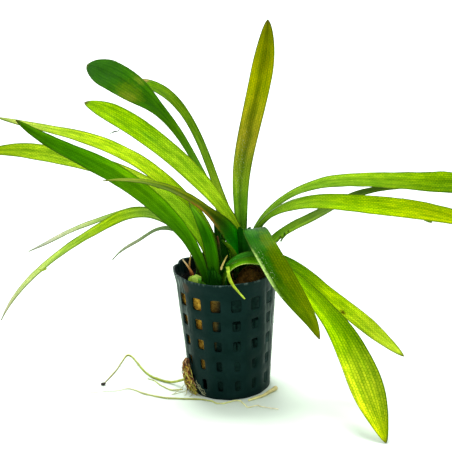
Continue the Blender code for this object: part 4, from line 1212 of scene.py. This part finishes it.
def add_scale(body, leaf, low):
    """A gutter that clasps the lowest part of one leaf and runs down into the crown."""
    rings = []
    midrib = list(zip(*leaf_midrib(leaf, LEAF_LEAST_STRIDES)))
    for step in range(SCALE_STEPS + 1):
        up = step / SCALE_STEPS
        share = up * SCALE_REACH / leaf.length
        place = Vector([along(axis, share) for axis in midrib])
        _, side, face = leaf_frame(leaf, share)
        half = (0.62 + 0.10 * (1 - up)) * leaf_width(leaf, share) + 0.5
        half *= 1.0 - 0.75 * up ** 3
        hug = 1.0 + 1.1 * (1 - up)
        if step == 0:
            place.z = low + 0.2
        ring = []
        for surface, across in section(8):
            lift = -0.9 * hug * (1.0 - across * across) - 0.25 * (surface > 0) + 0.5 * abs(across)
            ring.append(place + side * half * across + face * lift)
            tone = 1.0 + 0.5 * abs(across)
            body.tints.append([part * tone for part in mixed(SCALE_FOOT_TINT, SCALE_TIP_TINT, up)])
        rings.append(ring)
    body.skin(rings)


def make_crown(name, crown, leaf_names):
    """The stump of the crown with a clasping scale round the foot of each of its leaves."""
    place, radius, low, high = crown
    body = Body()
    add_stump(body, place, radius, low, high)
    for sheath in SHEATHS[name]:
        add_sheath(body, sheath)
    for lump in LUMPS[name]:
        add_lump(body, lump)
    for leaf in LEAVES:
        if leaf.name in leaf_names:
            add_scale(body, leaf, low)
    add_piece(name + "_base", body, CROWN_MATERIAL, [name])


# Dry strips
def smooth_route(places, steps):
    """Evenly numbered places on a smooth curve through a few points."""
    axes = list(zip(*places))
    return [Vector([along(axis, step / steps) for axis in axes]) for step in range(steps + 1)]


def make_strip(strip):
    """A dry or torn strip with a gutter across and a slight curl."""
    route = smooth_route(strip.points, STRIP_STEPS)
    seed = Vector(strip.points[0])
    body = Body()
    rings = []
    for step, middle in enumerate(route):
        share = step / STRIP_STEPS
        forward = (route[min(step + 1, STRIP_STEPS)] - route[max(step - 1, 0)]).normalized()
        side = Vector(strip.side)
        side = (side - forward * side.dot(forward)).normalized()
        side.rotate(Matrix.Rotation(0.5 * noise.noise(seed + Vector((0, 0, share * 3))), 3, forward))
        face = forward.cross(side)
        half = strip.width / 2 * (1.0 - STRIP_NARROWING * share ** 3)
        half *= 1.0 + 0.15 * noise.noise(seed + Vector((share * 9, 0, 0)))
        ring = []
        for surface, across in section(4):
            lift = (0.35 * across * across - 0.15) * half
            lift += surface * strip.thickness * (0.35 if abs(across) < 0.9 else 0.15)
            place = middle + side * half * across + face * lift
            ring.append(place)
            tone = 1.0 + 0.3 * across + 0.4 * noise.noise(place * 1.2)
            body.tints.append([part * tone for part in painted(strip.stops, share)])
        rings.append(ring)
    body.skin(rings)
    add_piece(strip.name + "_curl", body, STRIP_MATERIALS[strip.slot], [strip.name])


# Roots
def add_root_hair(body, start, picker):
    heading = picker.uniform(0.0, math.tau)
    way = Vector((math.cos(heading), math.sin(heading), 0.0)) * picker.uniform(0.5, 1.4)
    bend = Vector((picker.uniform(-0.4, 0.4), picker.uniform(-0.4, 0.4), 0.0))
    rise = picker.uniform(0.0, 0.5)
    hair = [start, start + way + UP * rise * 0.6, start + way * 2 + bend + UP * rise]
    for place in hair[1:]:
        place.z = max(place.z, 0.12)
    body.tube(hair, ROOT_HAIR_RADII, sides=4)


def make_root(root):
    steps = root.steps * 3
    route = smooth_route(root.points, steps)
    seed = Vector(root.points[0])
    radii = []
    for step, under in enumerate(route):
        share = step / steps
        radius = root.radius + (root.tip_radius - root.radius) * share
        radius *= 1.0 + ROOT_UNEVEN * noise.noise(seed + Vector((share * steps * 0.35, 0, 0)))
        radius *= root.start + (1.0 - root.start) * smooth_step(0.0, 0.35, share)
        radii.append(radius)
        under.y += ROOT_WOBBLE * noise.noise(seed + Vector((0, share * steps * 0.22, 0)))
        under.z = max(under.z, 0.0) + radius
    body = Body()
    body.tube(route, radii, sides=8)
    body.tints = [painted(root.stops, number // 8 / steps) for number in range(len(body.points))]
    picker = random.Random(len(root.name) + root.steps)
    for _ in range(root.hairs):
        add_root_hair(body, route[picker.randrange(2, steps - 2)], picker)
    body.paint(root.stops[-1])
    add_piece(root.name + "_strand", body, ROOT_MATERIALS[root.slot], [root.name])


def grain_place(way):
    rough = 1.0 + 0.22 * noise.noise(way * 2.2) + 0.10 * noise.noise(way * 6.0)
    size = Vector(GRAIN_SHAPE) * GRAIN_RADIUS * 0.92
    place = way * size * rough + Vector((*GRAIN_PLACE, GRAIN_RADIUS * GRAIN_SHAPE[2]))
    place.z = max(place.z, 0.02)
    return place


def make_grain():
    """A rough lump of dirt."""
    body = Body()
    body.skin(ball(12, 18, grain_place))
    add_piece("root_grain_lump", body, GRAIN_MATERIAL, ["root_grain"])


def mat_place(share, across, out):
    """A place in the pad of roots: share up it, across it from -1 to 1, and out from the wall."""
    height = MAT_FOOT + (MAT_TOP - MAT_FOOT) * share
    fullness = math.sin(math.pi * min(max(0.22 + 0.72 * share, 0.0), 1.0)) ** 0.5
    angle = -MAT_ANGLE - MAT_LEAN * math.sin(math.pi * share)
    reach = wall_radius(height) + MAT_WALL_GAP
    spread = 0.5 * MAT_WIDTH * fullness * across / reach
    spread *= 1.0 + MAT_FOOT_SPREAD * (1.0 - share) * (across > 0)
    return from_front(angle + spread, reach + MAT_THICKNESS * out * fullness, height)


def add_mat_strand(body, picker):
    """One thin old root that wanders up and down the pad."""
    low, high = sorted((picker.uniform(0.0, 1.0), picker.uniform(0.0, 1.0)))
    if high - low < 0.25:
        low, high = max(0.0, low - 0.15), min(1.0, high + 0.15)
    across, out = picker.uniform(-0.9, 0.9), picker.uniform(0.05, 0.8)
    sway, beat = picker.uniform(0.2, 0.8), picker.uniform(6, 22)
    phase = picker.uniform(0, 6.3)
    route = []
    for step in range(MAT_STRAND_STEPS + 1):
        share = low + (high - low) * step / MAT_STRAND_STEPS
        reach = across + sway * math.sin(phase + beat * share)
        depth = out + 0.3 * math.sin(phase * 2 + beat * share)
        route.append(mat_place(share, min(max(reach, -1.0), 1.0), min(max(depth, 0.05), 1.05)))
    thick = picker.choice(MAT_STRAND_RADII)
    body.tube(route, [thick] * MAT_STRAND_STEPS + [thick * 0.5], sides=5)
    kinds = MAT_FOOT_TINTS if picker.random() > 1.4 * (low + high) / 2 - 0.1 else MAT_TOP_TINTS
    body.paint(picker.choice(kinds))


def add_loose_end(body, heading, length, picker):
    """A root that leaves the pad and lies on the ground."""
    route = [mat_place(picker.uniform(0.0, 0.3), picker.uniform(-0.5, 0.5), 0.7)]
    turn = math.radians(heading)
    steps = len(MAT_END_RADII) - 1
    for _ in range(steps):
        turn += picker.uniform(-0.35, 0.35)
        place = route[-1] + Vector((math.cos(turn), math.sin(turn), 0.0)) * length / steps
        place.z = max(place.z - 0.5, 0.15)
        route.append(place)
    body.tube(route, MAT_END_RADII, sides=5)
    body.paint(MAT_LOOSE_TINT)


def add_pale_fibre(body, picker):
    """A pale fibre that lies on the wall beside the pad."""
    angle, height = -MAT_ANGLE + picker.uniform(0.15, 0.25), picker.uniform(4.0, 8.0)
    phase = picker.uniform(0, 6.3)
    route = []
    for step in range(len(MAT_PALE_RADII)):
        drop = height * (1.0 - 0.7 * step / 8) + 0.8 * math.sin(phase + 0.9 * step)
        turn = angle + 0.035 * step + 0.03 * math.cos(phase + 0.9 * step)
        route.append(from_front(turn, wall_radius(drop) + 0.2, max(drop, 0.3)))
    body.tube(route, MAT_PALE_RADII, sides=5)
    body.paint(MAT_PALE_TINT)


def make_root_mat():
    body = Body()
    picker = random.Random(MAT_SEED)
    for _ in range(MAT_STRANDS):
        add_mat_strand(body, picker)
    for heading, length in MAT_LOOSE_ENDS:
        add_loose_end(body, heading, length, picker)
    for _ in range(MAT_PALE_FIBRES):
        add_pale_fibre(body, picker)
    add_piece("root_mat_tangle", body, MAT_MATERIAL, ["root_mat"])


for leaf in LEAVES:
    make_leaf(leaf)
make_pot()
make_rockwool()
make_crown("crown_front", CROWN_FRONT, FRONT_LEAVES)
make_crown("crown_back", CROWN_BACK, BACK_LEAVES)
for strip in STRIPS:
    make_strip(strip)
for root in ROOTS:
    make_root(root)
make_grain()
make_root_mat()


# Camera, light and floor
def add_camera():
    back = Vector((0, -math.cos(CAMERA_ELEVATION), math.sin(CAMERA_ELEVATION)))
    right = Vector((1, 0, 0))
    up = back.cross(right)
    turned_right = right * math.cos(CAMERA_ROLL) - up * math.sin(CAMERA_ROLL)
    turned_up = right * math.sin(CAMERA_ROLL) + up * math.cos(CAMERA_ROLL)
    place = (CAMERA_TARGET + back * CAMERA_DISTANCE) * MM
    data = bpy.data.cameras.new("camera")
    data.sensor_width = 36.0
    data.lens = CAMERA_LENS
    data.shift_x, data.shift_y = CAMERA_SHIFT
    data.clip_start, data.clip_end = 0.01, 20.0
    camera = bpy.data.objects.new("camera", data)
    bpy.context.collection.objects.link(camera)
    turn = Matrix((turned_right, turned_up, back)).transposed()
    camera.matrix_world = Matrix.Translation(place) @ turn.to_4x4()
    bpy.context.scene.camera = camera


def add_light():
    data = bpy.data.lights.new("sun", "SUN")
    data.energy = SUN_STRENGTH
    data.angle = SUN_ANGLE
    sun = bpy.data.objects.new("sun", data)
    bpy.context.collection.objects.link(sun)
    sun.rotation_euler = SUN_FROM.to_track_quat("Z", "Y").to_euler()
    tree = Tree(bpy.data.worlds.new("studio"))
    parts = tree.node("SeparateXYZ", {0: tree.node("TexCoord").outputs["Generated"]})
    back = tree.span(parts.outputs["Y"], -0.6, 0.5)
    colour = tree.blended(back, (*WORLD_FRONT, 1.0), (*WORLD_BACK, 1.0))
    glow = tree.node("Background", {"Color": colour, "Strength": 1.0})
    bpy.context.scene.world = tree.finish(glow, "OutputWorld")


def add_floor():
    tree = material_tree("floor_white")
    grain = tree.node("TexNoise", {"Scale": 40.0, "Detail": 3.0}).outputs["Fac"]
    colour = tree.ramp(grain, (0.3, (0.57, 0.66, 0.57)), (0.7, (0.58, 0.67, 0.58)))
    white = tree.node("BsdfPrincipled", {"Base Color": colour, "Roughness": 0.8, "Specular IOR Level": 0.1})
    mesh = bpy.data.meshes.new("floor")
    corners = [(x * FLOOR_REACH, y * FLOOR_REACH, 0) for x, y in ((-1, -1), (1, -1), (1, 1), (-1, 1))]
    mesh.from_pydata(corners, [], [(0, 1, 2, 3)])
    mesh.materials.append(tree.finish(white))
    floor = bpy.data.objects.new("floor", mesh)
    bpy.context.collection.objects.link(floor)
    floor.location.z = -FLOOR_DROP


add_camera()
add_light()
add_floor()
bpy.context.scene.view_settings.view_transform = "Standard"
